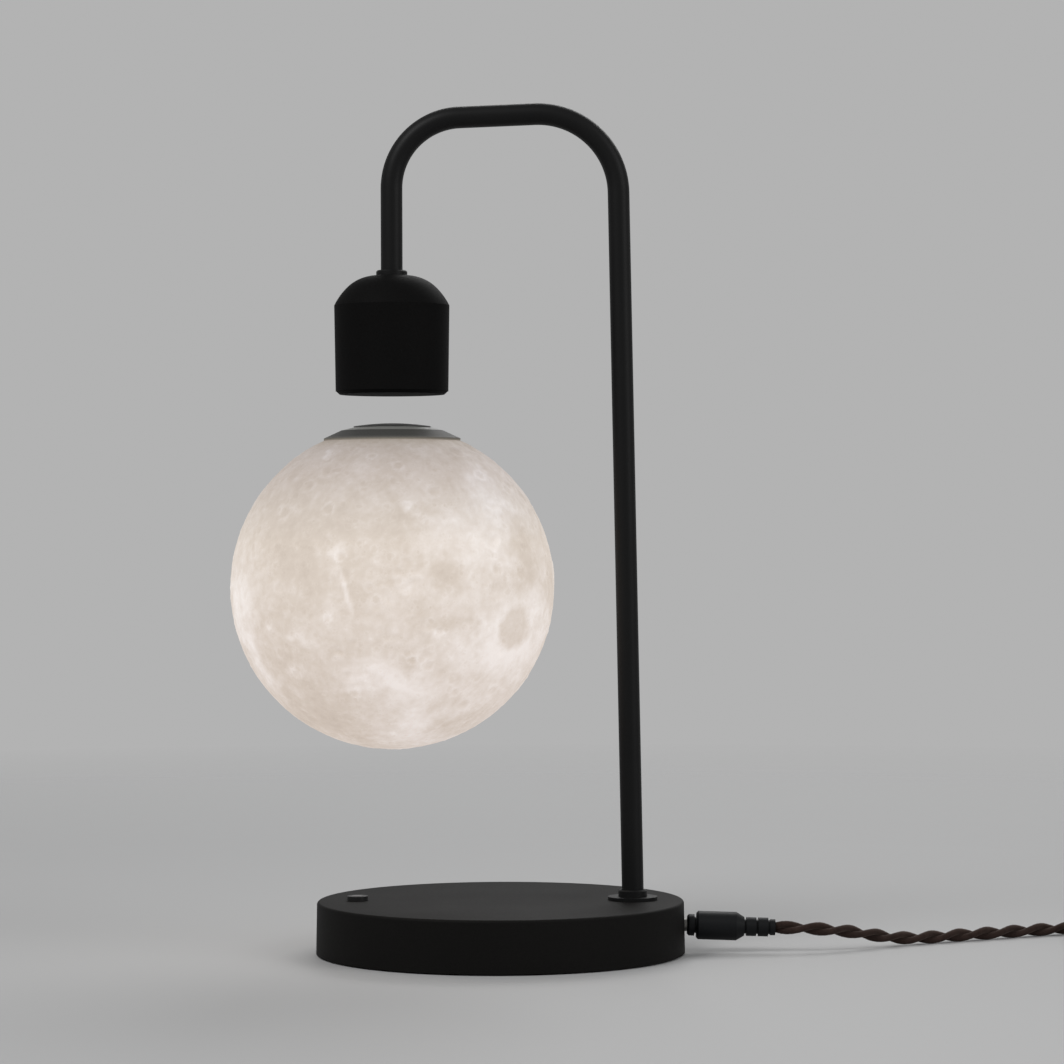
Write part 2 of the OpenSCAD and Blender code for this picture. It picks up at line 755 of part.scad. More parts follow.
module board_screws() {
  color(steel) {
    board_screw_places() translate([0, 0, board_z]) screw(board_screw);
    switch_screw_places() translate([0, 0, switch_board_z]) screw(board_screw);
  }
}

module plate_screws() {
  color(steel) plate_screw_places() translate([0, 0, plate_z]) screw(plate_screw);
}

module switch_board() {
  color(board_green) difference() {
    translate([button_x, 0, switch_board_z])
      block([switch_board_w, switch_board_l, switch_board_t]);
    switch_screw_places() translate([0, 0, switch_board_z - 1])
      cylinder(r = board_screw[2] + hole_gap, h = switch_board_t + 2);
  }
}

module button_switch() {
  color("#3a3a3c") translate([button_x, 0, switch_board_z + switch_board_t]) difference() {
    block([switch_w, switch_w, switch_h]);
    translate([0, 0, switch_h - switch_dip])
      cylinder(r = button_stem_r + hole_gap, h = switch_dip + 1);
  }
}

// ---------------------------------------------------------------- button

module button_cap() {
  rise = button_h + shell_top + button_lift;
  color("#232221") translate([button_x, 0, button_flange_z]) difference() {
    union() {
      cylinder(r = button_d / 2 + flange_extra_r, h = button_flange_t);
      cylinder(d = button_d, h = button_flange_t + rise);
      translate([0, 0, -stem_l]) cylinder(r = button_stem_r, h = stem_l + eps);
    }
    translate([0, 0, button_flange_t + rise - lens_sink])
      cylinder(d = lens_d, h = lens_sink + 1);
  }
}

module button_lens() {
  color("#c9c7c2") translate([button_x, 0, base_h + button_h - lens_sink])
    cylinder(r = lens_d / 2 - lens_gap, h = lens_sink + lens_proud);
}

// ---------------------------------------------------------------- power socket and plug

module dc_jack() {
  color(black) difference() {
    union() {
      translate([jack_front - jack_l, -jack_w / 2, jack_z - jack_w / 2])
        cube([jack_l, jack_w, jack_w]);
      translate([jack_front - eps, 0, jack_z]) rotate([0, 90, 0])
        cylinder(d = nozzle_d, h = nozzle_l + eps);
    }
    translate([jack_front - jack_l + jack_back_wall, 0, jack_z]) rotate([0, 90, 0])
      cylinder(r = jack_bore_r, h = jack_l + nozzle_l);
  }
}

module jack_pin() {
  color(steel) translate([jack_front - jack_l + jack_back_wall, 0, jack_z]) rotate([0, 90, 0])
    cylinder(r = jack_pin_r, h = jack_l - jack_back_wall);
}

module plug_barrel() {
  color(steel) translate([barrel_tip, 0, jack_z]) rotate([0, 90, 0])
    ring(barrel_d / 2, barrel_bore / 2, plug_x - fit_gap - barrel_tip);
}

module dc_plug() {
  notch_end = front_l + notch_l;
  grip_end = notch_end + grip_l;
  taper_end = grip_end + taper_l;
  color(black) translate([plug_x, 0, jack_z]) rotate([0, 90 + plug_droop, 0]) {
    rotate_extrude() polygon([[0, 0], [front_d / 2 - plug_edge, 0], [front_d / 2, plug_edge],
      [front_d / 2, front_l], [notch_d / 2, front_l], [notch_d / 2, notch_end],
      [grip_d / 2 - plug_edge, notch_end], [grip_d / 2, notch_end + plug_edge],
      [grip_d / 2, grip_end], [relief_d / 2, taper_end], [relief_core_d / 2, taper_end],
      [relief_core_d / 2, plug_l], [0, plug_l]]);
    for (i = [0, 1])
      translate([0, 0, taper_end + ring_gap + i * (ring_l + ring_gap)])
        cylinder(d = relief_d, h = ring_l);
    translate([0, 0, plug_l - end_ring_l]) cylinder(d = end_ring_d, h = end_ring_l);
  }
}

// ---------------------------------------------------------------- tube frame

module pole_flange() {
  color(black) translate([pole_x, 0, base_h]) ring(flange_d / 2, tube_r + tube_gap, flange_t);
}

module pole_collar() {
  chamfer = 0.6;
  color(black) translate([pole_x, 0, base_h + flange_t]) rotate_extrude()
    polygon([[tube_r + tube_gap, 0], [collar_d / 2, 0], [collar_d / 2, collar_h - chamfer],
      [collar_d / 2 - chamfer, collar_h], [tube_r + tube_gap, collar_h]]);
}

module lock_washer() {
  color(steel) translate([pole_x, 0, roof_z - washer_t])
    ring(nut_af / 2 + nut_rim, tube_r + tube_gap, washer_t);
}

module tube_nut() {
  difference() {
    cylinder(r = nut_af / 2 / cos(30), h = nut_t, $fn = 6);
    translate([0, 0, -1]) cylinder(r = tube_r + nut_gap, h = nut_t + 2);
  }
}

module lock_nut() {
  color(steel) translate([pole_x, 0, roof_z - washer_t - nut_t]) rotate([0, 0, 30]) tube_nut();
}

module frame_tube() {
  color(black) difference() {
    bent_rod(tube_r, tube_runs, [pole_x, 0, tube_foot_z], 90);
    bent_rod(tube_bore_r, bore_runs, [pole_x, 0, tube_foot_z - eps], 90);
  }
}

module wire_harness() {
  color("#3c3a38") bent_rod(harness_r, harness_runs, [harness_x, 0, board_z], 270);
}

// ---------------------------------------------------------------- bell

module neck_collar() {
  color(black) translate([bell_x, 0, bell_top]) rotate_extrude()
    polygon([[tube_r + tube_gap, 0], [neck_d / 2, 0], [neck_d / 2, neck_h - neck_chamfer],
      [neck_d / 2 - neck_chamfer, neck_h], [tube_r + tube_gap, neck_h]]);
}

module neck_nut() { color(steel) translate([bell_x, 0, neck_nut_z]) tube_nut(); }

// Profile of the bell's outside
function bell_outline() = concat(arc(top_centre, dome_top_r, 90, dome_split_a),
  arc(low_centre, dome_low_r, dome_split_a, shoulder_a), [[rim_r, bell_z]]);

module bell_shell() {
  inner = concat([[bell_in_r, bell_z]],
    arc(low_centre, dome_low_r - bell_wall, inner_start_a, dome_split_a),
    arc(top_centre, dome_top_r - bell_wall, dome_split_a, 90));
  color(black) translate([bell_x, 0, 0]) difference() {
    union() {
      rotate_extrude() polygon(concat([[0, bell_top]], bell_outline(), inner,
        [[0, bell_ceiling]]));
      intersection() {
        around(bracket_screw_count, bracket_screw_at, bracket_screw_a)
          translate([0, 0, bracket_top]) cylinder(r = bracket_boss_r, h = bell_top - bracket_top);
        rotate_extrude() polygon(concat([[0, bell_z], [0, bell_top - bell_wall / 2]],
          arc(top_centre, dome_top_r - bell_wall / 2, 90, dome_split_a),
          arc(low_centre, dome_low_r - bell_wall / 2, dome_split_a, shoulder_a),
          [[rim_r - bell_wall / 2, bell_z]]));
      }
    }
    translate([0, 0, bell_ceiling - 1]) cylinder(r = tube_r + tube_gap, h = bell_wall + 2);
    around(bracket_screw_count, bracket_screw_at, bracket_screw_a)
      translate([0, 0, bracket_top - eps]) cylinder(r = small_pilot_r, h = screw_grip);
  }
}

module bell_cover() {
  color(black) translate([bell_x, 0, 0]) rotate_extrude()
    polygon([[0, cover_bottom], [cover_lip_r - cover_chamfer, cover_bottom],
      [cover_lip_r, bell_z - cover_lip_edge], [cover_lip_r, bell_z], [cover_spigot_r, bell_z],
      [cover_spigot_r, bell_z + cover_spigot_h],
      [cover_spigot_r - cover_spigot_wall, bell_z + cover_spigot_h],
      [cover_spigot_r - cover_spigot_wall, cover_floor], [0, cover_floor]]);
}

module coil_bracket() {
  color(steel) translate([bell_x, 0, 0]) difference() {
    translate([0, 0, bobbin_top]) cylinder(r = bracket_r, h = bracket_t);
    translate([0, 0, bobbin_top - 1]) cylinder(r = core_r + core_gap, h = bracket_t + 2);
    around(bracket_screw_count, bracket_screw_at, bracket_screw_a)
      translate([0, 0, bobbin_top - 1]) cylinder(r = lid_screw[2] + hole_gap, h = bracket_t + 2);
    around(bracket_screw_count, bracket_screw_at, bracket_screw_a)
      translate([0, 0, bobbin_top - hole_gap])
        cylinder(r = lid_screw[0] + hole_gap, h = lid_screw[1] + hole_gap + eps);
  }
}

module bracket_screws() {
  color(steel) translate([bell_x, 0, bobbin_top + lid_screw[1]])
    around(bracket_screw_count, bracket_screw_at, bracket_screw_a) screw(lid_screw);
}

module terminal_block() {
  color("#2c4f7a") translate([bell_x, 0, bracket_top]) block([terminal_l, terminal_w, terminal_h]);
}

module iron_core() {
  color("#77797b") translate([bell_x, 0, core_bottom])
    cylinder(r = core_r, h = bracket_top - core_bottom);
}

module coil_bobbin() {
  color("#e4e0d5") translate([bell_x, 0, core_bottom]) {
    ring(bobbin_r, core_r + core_gap, bobbin_flange_t);
    ring(bobbin_tube_r, core_r + core_gap, bobbin_top - core_bottom);
    translate([0, 0, bobbin_top - core_bottom - bobbin_flange_t])
      ring(bobbin_r, core_r + core_gap, bobbin_flange_t);
  }
}

module coil_winding() {
  color(copper) translate([bell_x, 0, winding_z])
    ring(winding_d / 2, bobbin_tube_r + seat_gap, winding_h);
}

module sensor_board() {
  color(board_green) translate([bell_x, 0, sensor_board_z])
    cylinder(d = sensor_board_d, h = sensor_board_t);
}

module field_sensor() {
  color("#232325") translate([bell_x, 0, sensor_board_z - sensor_t])
    block([sensor_l, sensor_w, sensor_t]);
}

module power_coil() {
  color(copper) translate([bell_x, 0, cover_floor])
    ring(power_coil_d / 2, power_coil_bore / 2, power_coil_t);
}

// ---------------------------------------------------------------- moon

module on_moon_axis(z) { translate([bell_x, 0, z]) children(); }

module lift_magnet() {
  color("#b9bbbd") on_moon_axis(pocket_z + magnet_lift) cylinder(r = magnet_r, h = magnet_t);
}

module moon_shell() {
  color("#e9dfcf") on_moon_axis(moon_z) difference() {
    sphere(r = moon_r);
    sphere(r = moon_r - moon_wall);
    cylinder(r = moon_hole_r, h = moon_r + 1);
  }
}

module lid_ring() {
  color(dark_grey) difference() {
    union() {
      on_moon_axis(0) rotate_extrude()
        polygon([[lid_r - ledge_w, ledge_z - lid_edge_t], [lid_r - ledge_w, ledge_z],
          [lid_r + fit_gap, ledge_z], [lid_r + fit_gap, lid_edge_z],
          [ring_r, ring_seat_z + ring_edge_t], [ring_r, ring_seat_z - 1],
          [spigot_r, ring_seat_z - 1], [spigot_r, spigot_z],
          [spigot_r - spigot_wall, spigot_z], [spigot_r - spigot_wall, ledge_z - lid_edge_t]]);
      on_moon_axis(spigot_z) around(lid_screw_count, lid_screw_at)
        cylinder(r = small_boss_r, h = lid_boss_h);
    }
    on_moon_axis(moon_z) difference() {
      sphere(r = moon_r + seat_gap);
      cylinder(r = spigot_r, h = moon_r + 1);
    }
    on_moon_axis(spigot_z - eps) around(lid_screw_count, lid_screw_at)
      cylinder(r = small_pilot_r, h = lid_boss_h - lid_boss_end);
  }
}

module moon_lid() {
  pocket_out_r = pocket_r + pocket_wall;
  color(light_grey) on_moon_axis(0) rotate_extrude()
    polygon([[0, ledge_z], [0, lid_flat_z], [disc_r, lid_flat_z], [lid_r, lid_edge_z],
      [lid_r, ledge_z], [pocket_out_r, ledge_z], [pocket_out_r, pocket_z],
      [pocket_r, pocket_z], [pocket_r, ledge_z]]);
}

module crown_disc() {
  edge_a = acos(disc_r / disc_round_r);
  color("#3f3e3c") on_moon_axis(0) rotate_extrude() polygon(concat([[0, lid_flat_z]],
    arc([0, crown_z - disc_round_r], disc_round_r, 90, edge_a), [[disc_r, lid_flat_z]]));
}

module magnet_retainer() {
  color(dark_grey) on_moon_axis(retainer_z) cylinder(r = pocket_r + pocket_wall, h = retainer_t);
}

module receiver_coil() {
  color(copper) on_moon_axis(ledge_z - rx_coil_t) ring(rx_coil_d / 2, rx_coil_bore_r, rx_coil_t);
}

module led_board() {
  color(board_green) difference() {
    on_moon_axis(led_board_z) cylinder(d = led_board_d, h = board_t);
    on_moon_axis(led_board_z - 1) around(lid_screw_count, lid_screw_at)
      cylinder(r = lid_screw[2] + hole_gap, h = board_t + 2);
  }
}

module leds() {
  color("#f4ecc9") {
    on_moon_axis(led_board_z - led_h) around(led_count, led_at, 180 / led_count)
      block([led_size, led_size, led_h]);
    on_moon_axis(led_board_z + board_t) block(rx_chip);
  }
}

module lid_screws() {
  color(steel) on_moon_axis(led_board_z) around(lid_screw_count, lid_screw_at) screw(lid_screw);
}

// ---------------------------------------------------------------- cord

module cord_lead() { color("#4a3a35") swept_tube(lead_path, cord_r, cord_sides); }

module cord_coil() { color("#4a3a35") swept_tube(coil_path, cord_r, coil_sides); }

module coil_tie(inner, outer) {
  span = outer - inner + 2 * tie_t;
  translate([(inner + outer) / 2, tie_w / 2, tie_h / 2]) rotate([90, 0, 0]) difference() {
    round_plate(span, tie_h, tie_round, tie_w);
    translate([0, 0, -1])
      round_plate(span - 2 * tie_t, tie_h - 2 * tie_t, tie_round - tie_t, tie_w + 2);
  }
}

module coil_ties() {
  color(black) for (a = tie_angles)
    translate([coil_centre[0], coil_centre[1], 0]) rotate([0, 0, a])
      coil_tie(tie_in_r(a), tie_out_r(a));
}

// ---------------------------------------------------------------- wall adapter

module in_adapter(z) { translate([adapter_x, adapter_y, z]) children(); }

module pin_places() {
  for (y = [-1, 1]) translate([0, y * pin_gap / 2, 0]) children();
}

module adapter_case() {
  color(black) {
    difference() {
      in_adapter(0) round_plate(adapter_w, adapter_l, adapter_round, adapter_h);
      in_adapter(adapter_wall) round_plate(adapter_w - 2 * adapter_wall,
        adapter_l - 2 * adapter_wall, adapter_in_r, adapter_h);
      in_adapter(adapter_h - face_t) round_plate(adapter_w - 2 * face_lip,
        adapter_l - 2 * face_lip, adapter_round - face_lip, face_t + 1);
      translate([coil_tail[0], adapter_back_y + 1, adapter_lead_z]) rotate([90, 0, 0])
        cylinder(r = cord_r + hole_gap, h = adapter_wall + 2);
    }
    for (x = [-1, 1], y = [-1, 1])
      in_adapter(adapter_wall - boss_sink) translate([x * adapter_post_x, y * adapter_post_y, 0])
        cylinder(r = adapter_post_r, h = adapter_board_z - adapter_wall + boss_sink);
  }
}

module adapter_face() {
  color("#242322") difference() {
    in_adapter(adapter_h - face_t) round_plate(adapter_w - 2 * face_lip - hole_gap,
      adapter_l - 2 * face_lip - hole_gap, adapter_round - face_lip - hole_gap / 2, face_t);
    in_adapter(adapter_h - face_t - 1) pin_places()
      cylinder(r = pin_d / 2 + pin_root_extra + pin_hole_gap, h = face_t + 2);
  }
}

module adapter_pins() {
  shaft = pin_l - pin_tip;
  color(steel) in_adapter(adapter_h) pin_places() {
    translate([0, 0, -pin_root_l]) cylinder(r = pin_d / 2 + pin_root_extra, h = pin_root_l);
    cylinder(d = pin_d, h = shaft);
    translate([0, 0, shaft]) cylinder(r1 = pin_d / 2, r2 = pin_d / 2 - pin_tip, h = pin_tip);
  }
}

module adapter_relief() {
  color(black) translate([coil_tail[0], coil_tail[1], adapter_lead_z]) rotate([90, 0, 0])
    union() {
      cylinder(r1 = cord_r + relief_edge, r2 = adapter_relief_r, h = adapter_relief_l);
      cylinder(r = cord_r, h = adapter_relief_l + relief_sink);
    }
}

module adapter_board() {
  color(board_green) {
    in_adapter(adapter_board_z) block([adapter_board_w, adapter_board_l, board_t]);
    in_adapter(adapter_board_z + board_t) translate([0, transformer_y, 0]) block(transformer);
    in_adapter(adapter_board_z + board_t + mains_can_r - can_sink) translate([0, mains_can_y, 0])
      rotate([90, 0, 0]) cylinder(r = mains_can_r, h = mains_can_l);
  }
}

// ---------------------------------------------------------------- nodes

base_shell();
base_plate();
foot_pad();
ballast();
control_board();
board_parts();
board_screws();
plate_screws();
switch_board();
button_switch();
dc_jack();
jack_pin();
pole_flange();
pole_collar();
lock_washer();
lock_nut();
frame_tube();
wire_harness();
neck_collar();
neck_nut();
bell_shell();
bell_cover();
coil_bracket();
bracket_screws();
terminal_block();
iron_core();
coil_bobbin();
coil_winding();
sensor_board();
field_sensor();
power_coil();
button_cap();
button_lens();
lift_magnet();
moon_shell();
lid_ring();
moon_lid();
crown_disc();
magnet_retainer();
receiver_coil();
led_board();
leds();
lid_screws();
plug_barrel();
dc_plug();
cord_lead();
cord_coil();
coil_ties();
adapter_case();
adapter_face();
adapter_pins();
adapter_relief();
adapter_board();
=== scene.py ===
import math
import random

import bmesh
import bpy
import numpy as np
from mathutils import Euler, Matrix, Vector, noise


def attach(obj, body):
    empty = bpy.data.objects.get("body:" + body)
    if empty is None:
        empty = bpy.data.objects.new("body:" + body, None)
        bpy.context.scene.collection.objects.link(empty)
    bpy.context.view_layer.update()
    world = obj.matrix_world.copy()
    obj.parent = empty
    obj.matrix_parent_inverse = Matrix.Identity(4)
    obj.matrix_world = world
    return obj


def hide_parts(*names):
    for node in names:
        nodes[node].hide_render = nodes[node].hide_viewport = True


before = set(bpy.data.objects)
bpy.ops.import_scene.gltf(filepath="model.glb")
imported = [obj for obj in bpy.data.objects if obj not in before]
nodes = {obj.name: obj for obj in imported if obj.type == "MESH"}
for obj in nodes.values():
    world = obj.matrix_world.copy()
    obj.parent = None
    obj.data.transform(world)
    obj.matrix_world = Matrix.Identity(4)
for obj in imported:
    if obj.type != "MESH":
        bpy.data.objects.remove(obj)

# Everything is in metres, in the frame of the CAD model. MM turns millimetres into metres.
MM = 0.001
TAU = 2 * math.pi
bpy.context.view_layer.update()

# ---------------------------------------------------------------- camera

# Lens and sensor in millimetres, place in metres, and the tilt of the picture in degrees
LENS, SENSOR = 117.27, 36
CAMERA_AT, CAMERA_ROLL = (0.0142, -1.513, 0.1836), -0.17

camera_data = bpy.data.cameras.new("camera")
camera_data.lens = LENS
camera_data.sensor_width = SENSOR
camera_data.clip_start, camera_data.clip_end = 0.05, 50
camera = bpy.data.objects.new("camera", camera_data)
camera.location = CAMERA_AT
level = Euler((math.radians(90), 0, 0)).to_matrix()
roll = Euler((0, 0, math.radians(CAMERA_ROLL))).to_matrix()
camera.rotation_euler = (level @ roll).to_euler()
bpy.context.scene.collection.objects.link(camera)
bpy.context.scene.camera = camera

# ---------------------------------------------------------------- mesh helpers


def add_piece(name, points, faces, material):
    """A smooth mesh object from points and faces."""
    mesh = bpy.data.meshes.new(name)
    mesh.from_pydata([tuple(p) for p in points], [], [tuple(f) for f in faces])
    mesh.materials.append(material)
    mesh.polygons.foreach_set("use_smooth", [True] * len(mesh.polygons))
    mesh.update()
    piece = bpy.data.objects.new(name, mesh)
    bpy.context.scene.collection.objects.link(piece)
    return piece


def grid_faces(rows, columns, flip=False, first=0):
    """Quads between rows of points that close around. first is the number of the first point."""
    found = []
    for i in range(rows - 1):
        for k in range(columns):
            a, b = first + i * columns + k, first + i * columns + (k + 1) % columns
            c, d = b + columns, a + columns
            found.append((d, c, b, a) if flip else (a, b, c, d))
    return found


def smoothed(points, per_span):
    """A Catmull-Rom curve through points."""
    p = [np.array(q, float) for q in points]
    p = [2 * p[0] - p[1]] + p + [2 * p[-1] - p[-2]]
    line = []
    for i in range(1, len(p) - 2):
        a, b, c, d = p[i - 1:i + 3]
        for j in range(per_span):
            t = j / per_span
            line.append(0.5 * (2 * b + (c - a) * t + (2 * a - 5 * b + 4 * c - d) * t * t
                               + (3 * b - a - 3 * c + d) * t ** 3))
    line.append(p[-2])
    return np.array(line)


def distances(line):
    """How far along a line each of its points is."""
    return np.concatenate([[0], np.cumsum(np.linalg.norm(np.diff(line, axis=0), axis=1))])


def spaced(line, step):
    """The line again, with points about step apart."""
    along = distances(line)
    at = np.linspace(0, along[-1], max(2, round(along[-1] / step) + 1))
    return np.stack([np.interp(at, along, line[:, k]) for k in range(3)], axis=1)


def line_length(line):
    return float(np.linalg.norm(np.diff(line, axis=0), axis=1).sum())


def headings(line):
    """The unit vector along a line at each of its points."""
    go = np.gradient(line, axis=0)
    return go / np.linalg.norm(go, axis=1)[:, None]


def frames_along(line):
    """The heading, side and up of a line at each of its points, turned as little as can be."""
    go = headings(line)
    side = np.cross(go[0], (0, 0, 1))
    side /= np.linalg.norm(side)
    sides = [side]
    for g in go[1:]:
        side = side - g * side.dot(g)
        side /= np.linalg.norm(side)
        sides.append(side)
    sides = np.array(sides)
    return go, sides, np.cross(sides, go)


def faced_out(piece, crease=35):
    """Turns a closed piece's faces outward, and keeps the edges sharper than crease degrees."""
    work = bmesh.new()
    work.from_mesh(piece.data)
    bmesh.ops.recalc_face_normals(work, faces=work.faces)
    work.to_mesh(piece.data)
    work.free()
    piece.data.set_sharp_from_angle(angle=math.radians(crease))
    return piece


def turns(count):
    """The angles of count points around a circle."""
    return np.arange(count) * TAU / count


def ring_around(rows):
    """The points and faces of rings that close on themselves, the last ring on the first."""
    count, points = len(rows[0]), np.concatenate(rows)
    faces = grid_faces(len(rows), count)
    last = (len(rows) - 1) * count
    faces += [(last + k, last + (k + 1) % count, (k + 1) % count, k) for k in range(count)]
    return points, faces


def capped(rows):
    """The points and faces of rings whose first and last are closed by a fan to their middle."""
    count = len(rows[0])
    points = np.concatenate(list(rows) + [[np.mean(rows[0], axis=0)], [np.mean(rows[-1], axis=0)]])
    faces = grid_faces(len(rows), count)
    last, first_mid, last_mid = (len(rows) - 1) * count, len(points) - 2, len(points) - 1
    for k in range(count):
        faces.append((first_mid, (k + 1) % count, k))
        faces.append((last_mid, last + k, last + (k + 1) % count))
    return points, faces


def joined(parts):
    """Several pairs of points and faces as one pair."""
    points, faces = [], []
    for some, more in parts:
        faces += [tuple(len(points) + i for i in f) for f in more]
        points += list(some)
    return np.array(points), faces


# ---------------------------------------------------------------- materials


def new_material(name):
    material = bpy.data.materials.new(name)
    material.use_nodes = True
    shader = material.node_tree.nodes["Principled BSDF"]
    return material, material.node_tree, shader


def fill(tree, made, **inputs):
    """Fills a node's sockets, by name or as _number, with a value or from another socket."""
    for key, value in inputs.items():
        socket = made.inputs[int(key[1:]) if key[0] == "_" else key.replace("_", " ")]
        if isinstance(value, bpy.types.NodeSocket):
            tree.links.new(value, socket)
        else:
            socket.default_value = value


def add_node(tree, kind, settings=None, **inputs):
    """A shader node with its settings and what goes into its sockets."""
    made = tree.nodes.new("ShaderNode" + kind)
    for key, value in (settings or {}).items():
        setattr(made, key, value)
    fill(tree, made, **inputs)
    return made


def maths(tree, operation, *values):
    """The result of a maths node, from numbers or sockets."""
    given = {f"_{i}": value for i, value in enumerate(values)}
    return add_node(tree, "Math", {"operation": operation}, **given).outputs[0]


def multiplied(tree, a, b):
    """The product of two colours."""
    return add_node(tree, "MixRGB", {"blend_type": "MULTIPLY"}, _0=1.0, _1=a, _2=b).outputs[0]


def ramp(tree, factor, stops):
    """A colour ramp: stops of (place, colour)."""
    made = add_node(tree, "ValToRGB", _0=factor)
    band = made.color_ramp
    while len(band.elements) < len(stops):
        band.elements.new(0.5)
    for element, (place, colour) in zip(band.elements, stops):
        element.position = place
        element.color = (*colour, 1)
    return made.outputs[0]


def grey(value):
    return (value, value, value)


def object_place(tree):
    return add_node(tree, "TexCoord").outputs["Object"]


def noise_at(tree, place, scale, detail, rough=0.5, distortion=0.0):
    return add_node(tree, "TexNoise", Vector=place, Scale=scale, Detail=detail, Roughness=rough,
                    Distortion=distortion).outputs["Fac"]


def between(tree, value, low, high, to_low=0.0, to_high=1.0):
    """A value from low to high as one from to_low to to_high, and no further."""
    return add_node(tree, "MapRange", _0=value, _1=low, _2=high, _3=to_low, _4=to_high).outputs[0]


def bumped(tree, shader, height, strength, distance):
    """Grains a finish. distance is how far a height of 1 stands out, in metres."""
    made = add_node(tree, "Bump", Strength=strength, Distance=distance, Height=height)
    fill(tree, shader, Normal=made.outputs[0])


# Size of the finishes' broad blotches, and the range in which most of the noise lies
BLOTCH_SCALE, NOISE_LOW, NOISE_HIGH = 18.0, 0.35, 0.65


def mottled(name, low, high, rough, bump, scale, metallic=0.0, specular=0.5, speckle=1.0):
    """A finish with broad, faint blotches, a fine grain in its colour and gloss, and a grained
    surface. low and high are its darkest and lightest colours, rough its range of roughness, bump
    the grain's strength and depth, and speckle the share of the grain in the colour."""
    material, tree, shader = new_material(name)
    place = object_place(tree)
    wide = noise_at(tree, place, BLOTCH_SCALE, 2)
    fine = noise_at(tree, place, scale, 3, 0.6)
    both = maths(tree, "MULTIPLY_ADD", fine, speckle, wide)
    mixed = between(tree, both, NOISE_LOW * (1 + speckle), NOISE_HIGH * (1 + speckle))
    fill(tree, shader, Base_Color=ramp(tree, mixed, [(0, low), (1, high)]),
         Roughness=between(tree, mixed, 0, 1, rough[1], rough[0]), Metallic=metallic,
         Specular_IOR_Level=specular)
    if bump:
        bumped(tree, shader, fine, bump[0], bump[1])
    return material


powder = mottled("powder_black", (0.0040, 0.0037, 0.0034), (0.0072, 0.0067, 0.0062), (0.58, 0.70),
                 (0.35, 0.00007), 2400, specular=0.08, speckle=4.0)
bell_coat = mottled("bell_black", (0.0026, 0.0025, 0.0025), (0.0050, 0.0048, 0.0047), (0.60, 0.72),
                    (0.35, 0.00007), 2400, specular=0.05, speckle=4.0)
tube_coat = mottled("tube_black", (0.0036, 0.0036, 0.0037), (0.0066, 0.0066, 0.0067), (0.42, 0.53),
                    (0.25, 0.00005), 2600, specular=0.16, speckle=3.0)
plate_paint = mottled("plate_paint", (0.012, 0.012, 0.012), (0.02, 0.0195, 0.019), (0.55, 0.7),
                      (0.25, 0.0001), 900, specular=0.3)
foam = mottled("foam", (0.022, 0.022, 0.022), (0.06, 0.058, 0.056), (0.85, 0.97), (0.8, 0.0004),
               1400)
black_plastic = mottled("black_plastic", (0.0034, 0.0038, 0.0044), (0.0064, 0.0070, 0.0078),
                        (0.46, 0.58), (0.2, 0.00005), 3000, specular=0.16, speckle=2.5)
cover_plastic = mottled("cover_plastic", (0.0028, 0.0028, 0.0028), (0.0050, 0.0050, 0.0050),
                        (0.72, 0.84), (0.3, 0.00006), 2600, specular=0.06)
case_plastic = mottled("case_plastic", (0.005, 0.005, 0.0053), (0.0095, 0.0095, 0.0098),
                       (0.50, 0.64), (0.5, 0.0001), 1800, specular=0.3)
strap_weave = mottled("strap_weave", (0.008, 0.008, 0.008), (0.026, 0.025, 0.024), (0.82, 0.95),
                      (0.9, 0.0003), 2600, specular=0.2)
steel = mottled("plated_steel", (0.5, 0.5, 0.51), (0.68, 0.68, 0.69), (0.22, 0.36), (0.1, 0.00003),
                1800, metallic=1.0)
iron = mottled("bare_iron", (0.12, 0.115, 0.11), (0.24, 0.235, 0.23), (0.45, 0.65),
               (0.3, 0.0001), 700, metallic=1.0)
# Painted shade: the plug's plated barrel is made far darker than the plated steel, for the shade
# in the gap between the base and the plug
barrel_metal_painted_shade = mottled("barrel_metal_painted_shade", (0.10, 0.098, 0.092), (0.20, 0.195, 0.185), (0.34, 0.48),
                       (0.15, 0.00003), 1800, metallic=1.0)
magnet_metal = mottled("magnet_plate", (0.6, 0.6, 0.61), (0.7, 0.7, 0.71), (0.15, 0.25), None,
                       1200, metallic=1.0)
copper = mottled("copper_wire", (0.62, 0.28, 0.13), (0.8, 0.4, 0.2), (0.25, 0.4), (0.3, 0.0001),
                 1500, metallic=1.0)
board_green = mottled("circuit_board", (0.012, 0.075, 0.03), (0.025, 0.12, 0.05), (0.3, 0.45),
                      (0.15, 0.00005), 800)
board_part = mottled("board_part", (0.012, 0.012, 0.014), (0.03, 0.03, 0.032), (0.3, 0.5),
                     (0.15, 0.00005), 1500)
nylon = mottled("nylon", (0.55, 0.52, 0.45), (0.66, 0.62, 0.54), (0.4, 0.55), (0.1, 0.00005), 900)
lid_light = mottled("lid_light", (0.20, 0.20, 0.19), (0.25, 0.25, 0.235), (0.34, 0.46),
                    (0.08, 0.00003), 1500, specular=0.4)
retainer_grey = mottled("retainer_grey", (0.06, 0.059, 0.057), (0.09, 0.088, 0.085), (0.45, 0.6),
                        (0.15, 0.00005), 1800)
# Painted shade and reflection: the crown disc on top of the lid is dark grey for the bell's shadow
# and its dark underside reflected there
disc_dark = mottled("disc_dark", (0.030, 0.030, 0.029), (0.048, 0.047, 0.045), (0.38, 0.5),
                    (0.08, 0.00003), 1500, specular=0.35)
button_dark = mottled("button_dark", (0.006, 0.006, 0.006), (0.011, 0.0105, 0.0105), (0.34, 0.46),
                      (0.1, 0.00003), 2000, specular=0.35)
